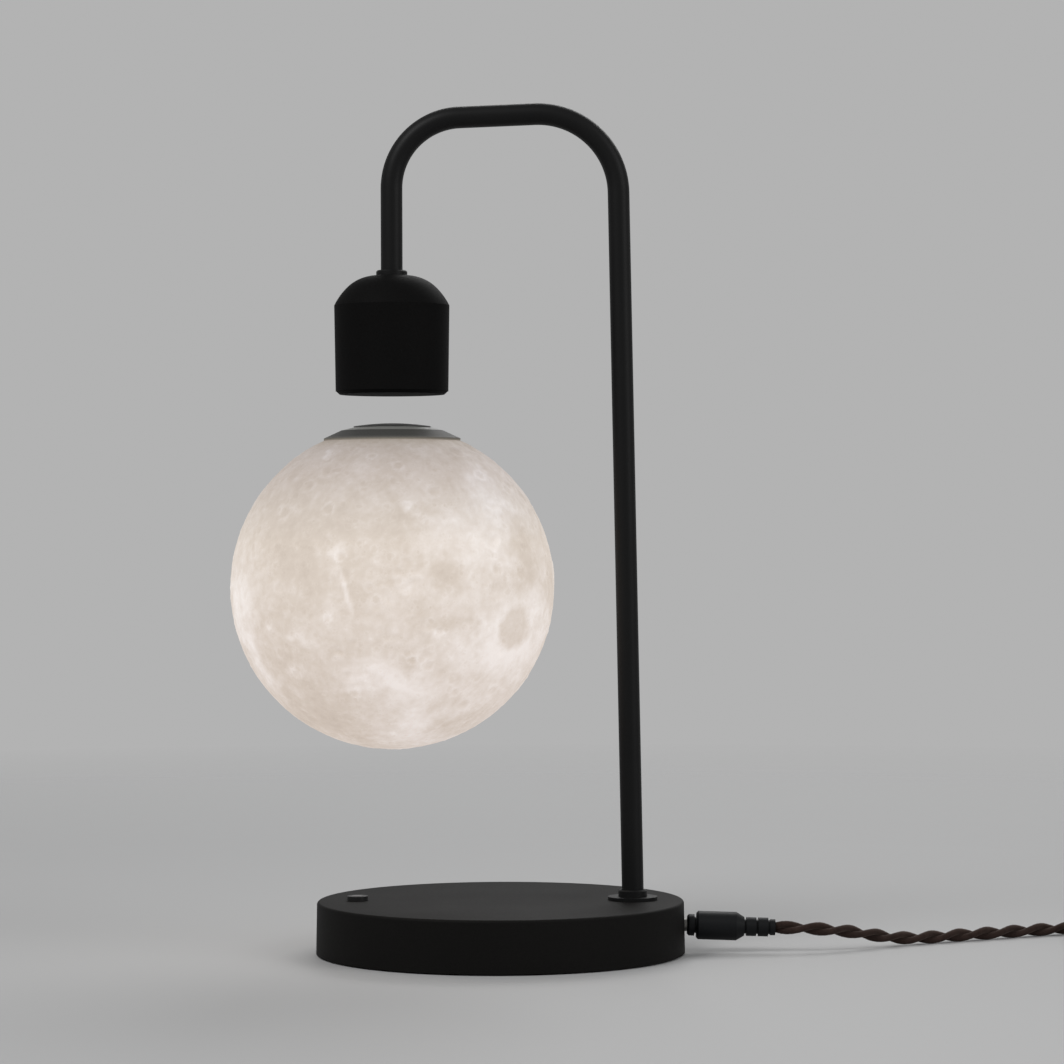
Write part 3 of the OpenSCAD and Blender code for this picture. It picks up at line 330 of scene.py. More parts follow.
# Partly painted reflection: the lens is a lighter grey than the cap, and part of that lightness
# stands for the light reflected on the button's top
button_light = mottled("button_light", (0.084, 0.080, 0.081), (0.120, 0.116, 0.117), (0.40, 0.52),
                       (0.08, 0.00003), 1800, specular=0.35)
light_chip = mottled("light_chip", (0.75, 0.68, 0.35), (0.9, 0.85, 0.5), (0.3, 0.4), None, 900)

# The ring's foot lies on the moon at this height, and the moon's glow painted on it reaches this
# far up
RING_EDGE_Z, RING_PAINTED_GLOW_H = 223.6 * MM, 1.9 * MM


def ring_with_painted_glow():
    """Dark satin plastic, with a soft glow from the moon painted on its lower edge."""
    material, tree, shader = new_material("lid_ring")
    place = object_place(tree)
    fine = noise_at(tree, place, 1500, 3, 0.6)
    height = add_node(tree, "SeparateXYZ", _0=place).outputs[2]
    up = between(tree, height, RING_EDGE_Z, RING_EDGE_Z + RING_PAINTED_GLOW_H)
    # Painted light: the base colour is tan and lightest at the ring's foot for the moon's glow,
    # and fades up to the plastic's own dark grey
    tone = ramp(tree, up, [(0.0, (0.36, 0.32, 0.265)), (0.22, (0.25, 0.225, 0.19)),
                           (0.50, (0.13, 0.124, 0.110)), (0.75, (0.082, 0.080, 0.074)),
                           (1.0, (0.064, 0.063, 0.059))])
    grain = ramp(tree, fine, [(0.3, grey(0.85)), (0.7, grey(1.0))])
    fill(tree, shader, Base_Color=multiplied(tree, tone, grain), Specular_IOR_Level=0.25,
         Roughness=between(tree, fine, 0.3, 0.7, 0.68, 0.58))
    bumped(tree, shader, fine, 0.15, 0.00005)
    return material


# The finish of every CAD node that stays
NODE_MATERIALS = [
    (powder, ["base_shell"]),
    (bell_coat, ["bell_shell"]),
    (tube_coat, ["pole_flange", "pole_collar", "neck_collar"]),
    (plate_paint, ["base_plate", "wire_harness"]),
    (foam, ["foot_pad"]),
    (iron, ["ballast", "iron_core"]),
    (steel, ["board_screws", "plate_screws", "bracket_screws", "lid_screws", "lock_washer",
             "lock_nut", "neck_nut", "coil_bracket", "jack_pin", "adapter_pins"]),
    (barrel_metal_painted_shade, ["plug_barrel"]),
    (magnet_metal, ["lift_magnet"]),
    (copper, ["coil_winding", "power_coil", "receiver_coil"]),
    (board_green, ["control_board", "switch_board", "sensor_board", "led_board",
                   "adapter_board"]),
    (board_part, ["board_parts", "button_switch", "field_sensor", "terminal_block"]),
    (black_plastic, ["dc_jack", "dc_plug"]),
    (cover_plastic, ["bell_cover"]),
    (case_plastic, ["adapter_face"]),
    (nylon, ["coil_bobbin"]),
    (button_dark, ["button_cap"]),
    (button_light, ["button_lens"]),
    (ring_with_painted_glow(), ["lid_ring"]),
    (retainer_grey, ["magnet_retainer"]),
    (lid_light, ["moon_lid"]),
    (disc_dark, ["crown_disc"]),
    (light_chip, ["leds"]),
]
for finish, names in NODE_MATERIALS:
    for name in names:
        nodes[name].material_slots[0].material = finish

# ---------------------------------------------------------------- cord: route, form and finish

# The route's values and points from the CAD model, in millimetres and degrees
PLUG_X, PLUG_L, PLUG_DROOP, JACK_Z = 81.39, 38.4, 1.9, 12.0
PLUG_END = (PLUG_X + PLUG_L * math.cos(math.radians(PLUG_DROOP)), 0,
            JACK_Z - PLUG_L * math.sin(math.radians(PLUG_DROOP)))
CORD_POINTS = [(131, 0, 10.4), (142, 2.5, 9.5), (154, 8, 7.8), (166, 14.5, 5.4),
               (178, 21.5, 3.5), (190, 28, 3), (202, 34.5, 3), (215, 41, 3), (228, 48, 3),
               (241, 54.5, 3), (254, 60.5, 3), (267, 66, 3.2), (280, 71, 3.5), (292, 74, 3.8),
               (300, 75, 4)]
CORD_D = 6.0
COIL_R, COIL_PITCH, COIL_STEP, COIL_TURNS = 44.0, 6.5, 6.6, 6.25
COIL_CENTRE, COIL_Z = (312.0, 31.0), 4.0
CLIMB_TURNS = 0.5
# Points of the route in a span of the free stretch and in a turn of the coil, and the distance
# between the points of the line through them all
SPAN_STEPS, TURN_STEPS, CORD_STEP = 12, 48, 1.5


def coil_radius(turn):
    """The coil winds inward in its lower layer, and outward again in its upper one."""
    middle = COIL_TURNS / 2
    return COIL_R - COIL_PITCH * (middle - abs(turn - middle))


def coil_point(turn):
    """Where the cord's line is after a number of turns of the coil."""
    r = coil_radius(turn)
    angle = math.radians(90) - TAU * turn
    climbed = min(1, max(0, (turn - COIL_TURNS / 2) / CLIMB_TURNS + 0.5))
    return (COIL_CENTRE[0] + r * math.cos(angle), COIL_CENTRE[1] + r * math.sin(angle),
            COIL_Z + COIL_STEP * climbed)


wound = [coil_point(i / TURN_STEPS) for i in range(int(COIL_TURNS * TURN_STEPS) + 1)]
coil_head = (wound[0][0] - CORD_D, wound[0][1], wound[0][2])
coil_tail = (wound[-1][0], wound[-1][1] - CORD_D, wound[-1][2])
lead = smoothed([PLUG_END] + CORD_POINTS + [coil_head, wound[0]], SPAN_STEPS)
route = np.concatenate([lead[:-1], wound, [coil_tail]])
cord_line = spaced(route * MM, CORD_STEP * MM)

# The strands' thickness, their distance from the cord's middle and the length of a full twist,
# then their number of sides and the turn at which the first one starts
STRAND_D, STRAND_OFF, TWIST_PITCH = 3.1 * MM, 1.42 * MM, 29.5 * MM
STRAND_SIDES, STRAND_START = 12, 0.6


def twisted_pair(line, material):
    """Two strands that wind round each other along a line."""
    go, side, up = frames_along(line)
    along = distances(line)
    points, faces, places = [], [], []
    for strand in (0, 1):
        turn = TAU * along / TWIST_PITCH + math.pi * strand + STRAND_START
        out = np.cos(turn)[:, None] * side + np.sin(turn)[:, None] * up
        across = np.cross(go, out)
        centre = line + STRAND_OFF * out
        first = len(points)
        for k in range(len(line)):
            for j in range(STRAND_SIDES):
                a = TAU * j / STRAND_SIDES
                points.append(centre[k] + STRAND_D / 2 * (math.cos(a) * out[k]
                                                          + math.sin(a) * across[k]))
                places.append((math.cos(a), math.sin(a), along[k]))
        faces += grid_faces(len(line), STRAND_SIDES, flip=True, first=first)
        last = first + (len(line) - 1) * STRAND_SIDES
        faces.append(tuple(range(first, first + STRAND_SIDES)))
        faces.append(tuple(reversed(range(last, last + STRAND_SIDES))))
    piece = add_piece("cord_pair", points, faces, material)
    attribute = piece.data.attributes.new("braid", "FLOAT_VECTOR", "POINT")
    attribute.data.foreach_set("vector", np.array(places, np.float32).ravel())
    return piece


# Yarns around a strand, how fast they lean along it, in radians a metre, and the shares of
# the noise and the weave in the colour
YARN_COUNT, YARN_LEAN, SOFT_SHARE, WEAVE_SHARE = 6.0, 5200.0, 0.8, 0.35


def braid_material():
    """A dark brown textile sleeve: two sets of yarns that cross at a slant. The piece's braid
    attribute holds the cosine and sine of the angle around the strand, and the distance along."""
    material, tree, shader = new_material("braid_brown")
    place = add_node(tree, "Attribute", {"attribute_name": "braid"}).outputs["Vector"]
    apart = add_node(tree, "SeparateXYZ", _0=place)
    angle = maths(tree, "ARCTAN2", apart.outputs[1], apart.outputs[0])

    def yarns(slant):
        lean = maths(tree, "MULTIPLY", apart.outputs[2], slant)
        return maths(tree, "SINE", maths(tree, "MULTIPLY_ADD", angle, YARN_COUNT, lean))

    crossing = maths(tree, "MULTIPLY", yarns(YARN_LEAN), yarns(-YARN_LEAN))
    weave = between(tree, crossing, -1, 1)
    soft = noise_at(tree, object_place(tree), 260, 4, 0.6)
    mixed = maths(tree, "MULTIPLY_ADD", soft, SOFT_SHARE, maths(tree, "MULTIPLY", weave,
                                                                WEAVE_SHARE))
    brown = ramp(tree, mixed, [(0.2, (0.0092, 0.0045, 0.0033)), (0.55, (0.019, 0.0096, 0.0073)),
                               (0.85, (0.036, 0.0198, 0.0156))])
    fill(tree, shader, Base_Color=brown, Roughness=between(tree, mixed, 0.2, 0.9, 0.92, 0.72),
         Specular_IOR_Level=0.16, Sheen_Weight=0.16, Sheen_Roughness=0.5,
         Sheen_Tint=(0.9, 0.7, 0.6, 1))
    bumped(tree, shader, weave, 0.7, 0.00015)
    return material


braid = braid_material()

# ---------------------------------------------------------------- bent tube

# The tube's named values in the CAD model, in millimetres and degrees, then its number of sides,
# and the degrees of a bend's step with the fewest steps that a bend has
TUBE_R, TUBE_BORE_R = 4.75, 3.75
TUBE_FOOT, COLLAR_TOP, POLE_LEAN, ARM_SLOPE, ARM_Z = (57.7, 0, 9.0), 27.5, 1.0, 2.3, 366.0
SWAY_R, POLE_BEND_R, DROP_BEND_R, BELL_X, DROP_END_Z = 200.0, 35.0, 31.0, -46.7, 286.815
TUBE_SIDES, BEND_STEP, FEWEST_STEPS = 48, 2.5, 4


def ahead(angle):
    """The unit vector at a heading in degrees, in the plane of the lamp."""
    a = math.radians(angle)
    return np.array((math.cos(a), 0, math.sin(a)))


def past_bend(at, angle, r, turn):
    """Where a bend to the left that starts at a point and heading ends."""
    return at + r * (ahead(angle + 90) - ahead(angle + turn + 90))


def tube_line():
    """The tube's centreline: points with the heading in degrees at each."""
    pole_a, arm_a = 90 + POLE_LEAN, 180 + ARM_SLOPE
    pole_bend, drop_bend = arm_a - pole_a, 270 - arm_a
    found = [(np.array(TUBE_FOOT, float), 90.0), (np.array((TUBE_FOOT[0], 0, COLLAR_TOP)), 90.0)]

    def bend(r, turn):
        at, angle = found[-1]
        steps = max(FEWEST_STEPS, round(turn / BEND_STEP))
        for i in range(1, steps + 1):
            found.append((past_bend(at, angle, r, turn * i / steps), angle + turn * i / steps))

    def straight(length):
        at, angle = found[-1]
        found.append((at + length * ahead(angle), angle))

    bend(SWAY_R, POLE_LEAN)
    rise = past_bend(0, pole_a, POLE_BEND_R, pole_bend)[2]
    straight((ARM_Z - rise - found[-1][0][2]) / ahead(pole_a)[2])
    bend(POLE_BEND_R, pole_bend)
    shift = past_bend(0, arm_a, DROP_BEND_R, drop_bend)[0]
    straight((found[-1][0][0] + shift - BELL_X) / -ahead(arm_a)[0])
    bend(DROP_BEND_R, drop_bend)
    straight(found[-1][0][2] - DROP_END_Z)
    return found


def tube_ring(at, angle, r):
    """Points around the tube's line, square to its heading."""
    a = turns(TUBE_SIDES)
    return (at + r * np.cos(a)[:, None] * ahead(angle + 90)
            + r * np.sin(a)[:, None] * np.array((0, 1, 0)))


run = tube_line()
points, faces = ring_around([tube_ring(p, a, TUBE_R) for p, a in run]
                            + [tube_ring(p, a, TUBE_BORE_R) for p, a in reversed(run)])
bent_tube = faced_out(add_piece("bent_tube", points * MM, faces, tube_coat))
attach(bent_tube, "base")
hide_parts("frame_tube")

# ---------------------------------------------------------------- coil ties

# Thickness, width and gap to the cord, the radius of the corners, the angles around the coil, the
# tail's length, how far it lies on the strap and over what length it gets there, the step between
# the rings around, and the number of the tail's rings
TIE_T, TIE_W, TIE_GAP, TIE_ROUND, TIE_ANGLES = 0.6, 5.0, 0.4, 2.0, (160, 280)
TIE_TAIL, TIE_LIFT, TIE_RAMP, TIE_STEP, TAIL_RINGS = 13.0, 0.62, 4.0, 0.7, 19
# A strap's section: (across, outward)
TIE_SECTION = [(2.5, -0.16), (2.5, 0.16), (2.3, 0.3), (-2.3, 0.3), (-2.5, 0.16), (-2.5, -0.16),
               (-2.3, -0.3), (2.3, -0.3)]


# Steps of a loop's round corner
CORNER_STEPS = 8


def rounded_loop(width, length, radius, z=0.0):
    """Points around a rectangle with round corners, corner by corner from its first quadrant."""
    found = []
    for k, (x, y) in enumerate(((1, 1), (-1, 1), (-1, -1), (1, -1))):
        for i in range(CORNER_STEPS + 1):
            a = math.radians(90 * k + 90 * i / CORNER_STEPS)
            found.append((x * (width / 2 - radius) + radius * math.cos(a),
                          y * (length / 2 - radius) + radius * math.sin(a), z))
    return np.array(found)


def strap_line(width, height):
    """A strap's middle line in its own plane, (outward from the coil, up): once around, starting
    and ending on top, and on along its own top. Its second result is the length once around."""
    loop = rounded_loop(width, height, TIE_ROUND - TIE_T / 2)
    top = np.array([[0, height / 2, 0]])
    corner = len(loop) // 4
    around = spaced(np.concatenate([top, loop[corner:], loop[:corner], top]), TIE_STEP)
    tail = np.stack([np.linspace(0, -TIE_TAIL, TAIL_RINGS), np.full(TAIL_RINGS, top[0, 1]),
                     np.zeros(TAIL_RINGS)], 1)[1:]
    return np.concatenate([around, tail]), line_length(around)


def strap(angle):
    """Rings of a strap that goes round the coil's section once, with its tail on top of itself."""
    first = ((90 - angle + 720) % 360) / 360
    radii = [coil_radius(turn) for turn in np.arange(first, COIL_TURNS + 1e-6, 1)]
    inner, outer = min(radii) - CORD_D / 2 - TIE_GAP, max(radii) + CORD_D / 2 + TIE_GAP
    height = 2 * (TIE_T + TIE_GAP) + CORD_D + COIL_STEP
    line, once = strap_line(outer - inner + TIE_T, height - TIE_T)
    along = distances(line)
    go = headings(line)
    out = np.stack([go[:, 1], -go[:, 0], go[:, 2]], 1)
    t = np.clip((along - once + TIE_RAMP) / TIE_RAMP, 0, 1)
    line = line + out * (TIE_LIFT * t * t * (3 - 2 * t))[:, None]
    to_end = np.minimum(along, along[-1] - along)
    narrow = np.sqrt(np.clip(1 - (1 - to_end / (TIE_W / 2)) ** 2, 0.02, 1))
    narrow[to_end > TIE_W / 2] = 1
    a = math.radians(angle)
    radial = np.array((math.cos(a), math.sin(a), 0))
    across = np.array((-math.sin(a), math.cos(a), 0))
    middle = np.array((*COIL_CENTRE, height / 2)) + radial * (inner + outer) / 2
    rows = []
    for k in range(len(line)):
        flat = line[k] + np.array([n * out[k] for _, n in TIE_SECTION])
        wide = np.array([w * narrow[k] for w, _ in TIE_SECTION])
        rows.append(middle + flat[:, :1] * radial + wide[:, None] * across
                    + flat[:, 1:2] * np.array((0, 0, 1)))
    return capped(rows)


points, faces = joined([strap(angle) for angle in TIE_ANGLES])
coil_straps = faced_out(add_piece("coil_straps", points * MM, faces, strap_weave), 50)
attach(coil_straps, "base")
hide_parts("coil_ties")

# ---------------------------------------------------------------- wall adapter

# The case's and the strain relief's values in the CAD model, in millimetres
ADAPTER_W, ADAPTER_L, ADAPTER_H, ADAPTER_ROUND = 42.0, 74.0, 28.0, 5.0
ADAPTER_LEAD_AT, RELIEF_L, RELIEF_R0, RELIEF_R1 = 9.0, 24.0, 3.3, 4.6
FACE_T, FACE_LIP, CASE_WALL, POST_R, POST_TOP, POST_X, POST_Y = 2.5, 1.2, 2.2, 2.0, 5.0, 15.3, 28.8
# What the case has here alone: a round lower edge, a seam with slanted walls, a round rim, and the
# grip's grooves
BOTTOM_ROUND, BOTTOM_STEPS, UNDER_INSET = 2.5, 6, 12.0
SEAM_Z, SEAM_D, SEAM_IN, SEAM_OUT = 21.0, 0.35, 0.15, 0.35
RIM = [(0, 0.7), (0.12, 0.28), (0.35, 0.08), (0.7, 0)]
GRIP_D, GRIP_PITCH, GRIP_COUNT, GRIP_LOW, GRIP_HIGH, GRIP_END = 0.5, 3.2, 9, 5.0, 16.0, 0.5
GROOVE_IN, GROOVE_OUT, ROUND_MIN, POST_SINK, POST_SIDES = 0.5, 0.85, 0.8, 0.3, 20
adapter_at = np.array((coil_tail[0] - ADAPTER_LEAD_AT + ADAPTER_W / 2,
                       coil_tail[1] - RELIEF_L - ADAPTER_L / 2, 0))


def case_profile():
    """How far in from the outline, how high, and how deep the grip's grooves are there, from
    under the case to its inner floor."""
    found = [(UNDER_INSET, 0.0, 0)]
    for i in range(BOTTOM_STEPS + 1):
        a = math.radians(90 * i / BOTTOM_STEPS)
        found.append((BOTTOM_ROUND * (1 - math.sin(a)), BOTTOM_ROUND * (1 - math.cos(a)), 0))
    found += [(0, GRIP_LOW, 0), (0, GRIP_LOW + GRIP_END, GRIP_D),
              (0, GRIP_HIGH - GRIP_END, GRIP_D), (0, GRIP_HIGH, 0)]
    found += [(0, SEAM_Z - SEAM_OUT, 0), (SEAM_D, SEAM_Z - SEAM_IN, 0),
              (SEAM_D, SEAM_Z + SEAM_IN, 0), (0, SEAM_Z + SEAM_OUT, 0)]
    found += [(inset, ADAPTER_H - down, 0) for inset, down in RIM]
    face_z = ADAPTER_H - FACE_T
    return found + [(FACE_LIP, ADAPTER_H, 0), (FACE_LIP, face_z, 0), (CASE_WALL, face_z, 0),
                    (CASE_WALL, CASE_WALL, 0)]


def case_loop(inset, z, groove):
    """A loop of the case, with points for the grip's grooves on its two long sides."""
    loop = rounded_loop(ADAPTER_W - 2 * inset, ADAPTER_L - 2 * inset,
                        max(ROUND_MIN, ADAPTER_ROUND - inset), z)
    across = ((-GROOVE_OUT, 0), (-GROOVE_IN, groove), (GROOVE_IN, groove), (GROOVE_OUT, 0))
    side = [((k - (GRIP_COUNT - 1) / 2) * GRIP_PITCH + y, deep) for k in range(GRIP_COUNT)
            for y, deep in across]
    right = np.array([(ADAPTER_W / 2 - inset - deep, y, z) for y, deep in side])
    left = right[::-1] * (-1, 1, 1)
    return np.concatenate([loop[:len(loop) // 2], left, loop[len(loop) // 2:], right])


def post(x, y):
    """A round post on the case's inner floor."""
    foot = adapter_at + (x, y, 0)
    return capped([foot + np.array([(POST_R * math.cos(a), POST_R * math.sin(a), z)
                                    for a in turns(POST_SIDES)])
                   for z in (CASE_WALL - POST_SINK, POST_TOP)])


case = capped([adapter_at + case_loop(*step) for step in case_profile()])
posts = [post(x * POST_X, y * POST_Y) for x in (-1, 1) for y in (-1, 1)]
points, faces = joined([case] + posts)
adapter_shell = faced_out(add_piece("adapter_shell", points * MM, faces, case_plastic))


# The strain relief's round end: (along, radius). Then its grooves: their number, where the first
# one starts, their pitch and depth, and how far from a groove's start its floor starts, its floor
# ends, and the groove ends. Then its flange, whose edges are broken, and its spigot.
RELIEF_END = [(0, 2.9), (0.12, 3.15)]
RIB_COUNT, RIB_START, RIB_PITCH, RIB_D, RIB_IN, RIB_OUT, RIB_W = 6, 2.2, 3.15, 0.75, 0.2, 1.1, 1.3
FLANGE_START, FLANGE_IN, FLANGE_EDGE, SPIGOT_R, SPIGOT_L = 21.2, 0.15, 0.2, 3.0, 1.5
RELIEF_SIDES = 32


def relief_profile():
    """Distance from the cord's end of the strain relief, and radius."""
    def r(t):
        return RELIEF_R0 + (RELIEF_R1 - RELIEF_R0) * t / RELIEF_L
    found = RELIEF_END + [(0.4, r(0.4))]
    for k in range(RIB_COUNT):
        t = RIB_START + RIB_PITCH * k
        found += [(t, r(t)), (t + RIB_IN, r(t) - RIB_D), (t + RIB_OUT, r(t) - RIB_D),
                  (t + RIB_W, r(t))]
    return found + [(FLANGE_START, r(FLANGE_START)),
                    (FLANGE_START + FLANGE_EDGE, RELIEF_R1 - FLANGE_IN),
                    (FLANGE_START + 2 * FLANGE_EDGE, RELIEF_R1),
                    (RELIEF_L - FLANGE_EDGE, RELIEF_R1), (RELIEF_L, RELIEF_R1 - FLANGE_EDGE),
                    (RELIEF_L, SPIGOT_R), (RELIEF_L + SPIGOT_L, SPIGOT_R)]


points, faces = capped([np.array(coil_tail)
                        + np.array([(r * math.cos(a), -t, r * math.sin(a))
                                    for a in turns(RELIEF_SIDES)])
                        for t, r in relief_profile()])
ribbed_relief = faced_out(add_piece("ribbed_relief", points * MM, faces, black_plastic))
for piece, node in ((adapter_shell, "adapter_case"), (ribbed_relief, "adapter_relief")):
    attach(piece, "base")
    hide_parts(node)

# ---------------------------------------------------------------- cord: the piece

cord_pair = twisted_pair(cord_line, braid)
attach(cord_pair, "base")
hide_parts("cord_lead", "cord_coil")
CORD_PIECES = [nodes[n] for n in ("plug_barrel", "dc_plug", "adapter_face", "adapter_pins",
                                  "adapter_board")]
CORD_PIECES += [coil_straps, adapter_shell, ribbed_relief]

# ---------------------------------------------------------------- moon

MOON_AT = np.array((-46.7, 0, 159.7))
MOON_R, MOON_WALL, MOON_HOLE_R, RING_R = 70.5, 1.8, 27.0, 29.8
MOON_COLUMNS, MOON_ROWS, INNER_ROWS = 440, 196, 9

# Soft patches on the side that the photograph shows. Each is
# (right, up, half width, half height, turn in degrees, strength), in shares of the radius.
# Bright highlands are above zero, and dark plains below.
FRONT_PATCHES = [
    (0.62, 0.56, 0.10, 0.20, 38, 0.75), (0.46, 0.30, 0.24, 0.20, 0, 0.50),
    (0.86, -0.02, 0.08, 0.26, 12, 0.32), (0.62, -0.42, 0.28, 0.22, 20, 0.75),
    (0.50, -0.12, 0.16, 0.16, 0, 0.30), (-0.03, -0.53, 0.24, 0.09, -8, 0.70),
    (0.10, -0.68, 0.12, 0.16, -20, 0.45), (0.15, -0.88, 0.18, 0.12, 0, 0.45),
    (-0.89, -0.10, 0.07, 0.24, 8, 0.75), (-0.80, -0.45, 0.06, 0.20, 32, 0.55),
    (-0.84, 0.30, 0.06, 0.16, -20, 0.22), (-0.27, 0.21, 0.040, 0.05, 0, 0.50),
    (-0.21, -0.01, 0.016, 0.15, 14, 0.75), (-0.37, 0.81, 0.025, 0.018, 25, 0.70),
    (0.12, 0.50, 0.03, 0.022, 0, 0.55), (0.23, 0.42, 0.10, 0.025, -30, 0.30),
    (-0.35, -0.17, 0.04, 0.03, 0, 0.45), (-0.72, -0.21, 0.025, 0.025, 0, 0.50),
    (-0.54, -0.51, 0.05, 0.03, -10, 0.55), (0.32, -0.25, 0.05, 0.025, -10, 0.45),
    (0.12, -0.01, 0.025, 0.025, 0, 0.40), (0.36, 0.42, 0.04, 0.02, 20, 0.35),
    (0.75, -0.24, 0.135, 0.175, -22, 0.60), (-0.56, -0.28, 0.03, 0.02, 0, 0.35),
    (-0.22, -0.60, 0.10, 0.03, -5, 0.30), (0.02, 0.87, 0.05, 0.015, 0, 0.25),
    (0.83, 0.14, 0.06, 0.17, 8, -0.60), (0.38, 0.12, 0.095, 0.11, 0, -0.42),
    (-0.48, 0.30, 0.32, 0.28, 0, -0.44), (0.13, 0.36, 0.12, 0.13, 0, -0.40),
    (0.38, -0.18, 0.12, 0.05, 10, -0.45), (-0.63, -0.43, 0.10, 0.10, 0, -0.40),
    (-0.45, -0.78, 0.20, 0.10, -30, -0.35), (0.50, -0.56, 0.09, 0.035, 10, -0.35),
    (0.12, -0.43, 0.06, 0.045, -30, -0.40), (-0.40, 0.00, 0.30, 0.12, 0, -0.06),
    (0.30, -0.83, 0.10, 0.025, 15, -0.35), (-0.05, -0.28, 0.42, 0.16, 0, 0.10),
    (0.28, -0.70, 0.40, 0.18, 0, 0.14),
]
# The tone's middle, what a patch adds to it at strength 1, and the back's share of that
MIDDLE_TONE, PATCH_TONE, BACK_SHARE = 0.47, 0.40, 0.6
# The sharp-edged dark oval near the right limb: (right, up, half width, half height, turn), then
# where its edge ends in shares of its size, how wide the edge is, and its depth in millimetres
DARK_OVAL, OVAL_END, OVAL_EDGE, OVAL_DEPTH = (0.755, -0.24, 0.088, 0.125, -24), 1.20, 0.42, 0.14
# How far the two warps move the patches' edges and the oval's, and the finer one the rays
PATCH_WARPS, OVAL_WARPS, RAY_WARP = (0.045, 0.028), (0.02, 0.02), 0.035
# Larger craters of the front: (right, up, radius in millimetres, depth)
FRONT_CRATERS = [(-0.35, 0.48, 2.6, 0.40), (-0.48, 0.62, 3.2, 0.25), (-0.62, 0.46, 3.0, 0.25),
                 (0.06, 0.74, 2.4, 0.3), (-0.10, 0.80, 1.9, 0.3), (-0.72, -0.21, 1.6, 0.3),
                 (0.24, -0.45, 2.6, 0.3), (0.15, -0.42, 2.0, 0.3), (-0.55, -0.51, 2.2, 0.3),
                 (0.62, -0.62, 3.0, 0.25), (0.40, -0.62, 2.3, 0.25), (-0.2, -0.62, 2.1, 0.25),
                 (0.12, 0.50, 1.7, 0.3), (-0.27, 0.20, 2.3, 0.3), (0.31, -0.25, 1.8, 0.3),
                 (0.45, -0.70, 3.4, 0.2), (-0.35, -0.17, 1.7, 0.3), (0.55, 0.68, 2.5, 0.3)]
# Craters at random: their number, smallest radius, and how strong their tone is on the front and
# elsewhere. FRONT_Y is where the front starts.
CRATER_COUNT, CRATER_R, FRONT_CONTRAST, BACK_CONTRAST, FRONT_Y = 760, 0.9, 0.3, 0.65, -0.15
# How uneven the rims are, how far a crater reaches in radii, where its rim is and how wide, how
# high for a bowl of depth 1, and the tones of the rim and the bowl
RIM_LUMPS, CRATER_REACH, RIM_AT, RIM_WIDE, RIM_H = 0.22, 2.2, 1.05, 0.24, 0.55
RIM_TONE, BOWL_TONE = 0.42, 0.20
# Young craters with bright rays, away from the front: (azimuth and height in degrees, radius in
# millimetres, number of rays)
RAY_CRATERS = [(28, -34, 2.6, 7), (78, 28, 2.0, 9), (118, -12, 3.0, 8), (150, 36, 1.8, 6),
               (150, -50, 2.4, 9), (56, 2, 1.6, 7)]
# The rays' length in radii and their tone, and the tone and the radius of the halo under them
RAY_REACH, RAY_TONE, HALO_TONE, HALO_R = 9.0, 0.24, 0.13, 2.2


def in_patch(right, up, patch):
    """Where points lie in a turned patch, in shares of its half width and half height."""
    x, z, wide, tall, turn = patch
    c, s = math.cos(math.radians(turn)), math.sin(math.radians(turn))
    return ((right - x) * c + (up - z) * s) / wide, (-(right - x) * s + (up - z) * c) / tall


def patch_sum(right, up, toward, patches):
    """The sum of soft patches, on the half of the ball where toward is above zero."""
    total = np.zeros(len(right))
    shown = np.clip(toward / 0.25 + 0.35, 0, 1)
    for *patch, strength in patches:
        a, b = in_patch(right, up, patch)
        total += strength * np.exp(-(a * a + b * b) ** 1.3 * 0.8)
    return total * shown


def fractal(directions, scale, octaves, seed):
    """Fractal noise at each direction, from about -1 to 1."""
    shift = Vector((seed * 7.3, seed * 3.1, seed * 5.7))
    return np.array([noise.fractal(Vector(d) * scale + shift, 1.0, 2.0, octaves)
                     for d in directions])


def direction(azimuth, height):
    """The unit vector at an azimuth and a height in degrees."""
    a, h = math.radians(azimuth), math.radians(height)
    return np.array((math.cos(h) * math.cos(a), math.cos(h) * math.sin(a), math.sin(h)))


def crater_list():
    """Directions, radii, depths and contrasts of the craters: a few listed, many at random."""
    found = []
    for x, z, r, depth in FRONT_CRATERS:
        found.append((np.array((x, -math.sqrt(max(0.0, 1 - x * x - z * z)), z)), r, depth, depth))
    for azimuth, height, r, _ in RAY_CRATERS:
        found.append((direction(azimuth, height), r, 0.35, 0.7))
    pick = random.Random(11)
    for _ in range(CRATER_COUNT):
        azimuth = math.degrees(pick.uniform(0, TAU))
        at = direction(azimuth, math.degrees(math.asin(pick.uniform(-1, 0.9))))
        r = CRATER_R / (1 - pick.random() * 0.88) ** 0.8
        contrast = pick.uniform(0.12, 0.55)
        contrast *= FRONT_CONTRAST if at[1] < FRONT_Y else BACK_CONTRAST
        found.append((at, r, pick.uniform(0.10, 0.24) * min(1.5, r ** 0.5), contrast))
    return found


def ray_tone(directions):
    """Faint rays that fan out from the young craters, uneven in length and strength."""
    total = np.zeros(len(directions))
    for azimuth, height, r, count in RAY_CRATERS:
        centre = direction(azimuth, height)
        side = np.cross(centre, (0, 0, 1))
        side /= np.linalg.norm(side)
        up = np.cross(side, centre)
        angle = np.arctan2(directions @ up, directions @ side)
        t = np.arccos(np.clip(directions @ centre, -1, 1)) * MOON_R / r
        fan = (0.5 + 0.5 * np.cos(count * angle + 1.7 * np.sin(3 * angle + azimuth))) ** 3
        fan *= 0.58 + 0.42 * np.sin(2 * angle + 0.7 * azimuth)
        near = np.exp(-(t / (RAY_REACH * (0.35 + 0.65 * fan))) ** 2)
        total += RAY_TONE * fan * near * (t > 1) + HALO_TONE * np.exp(-(t / HALO_R) ** 2)
    return total


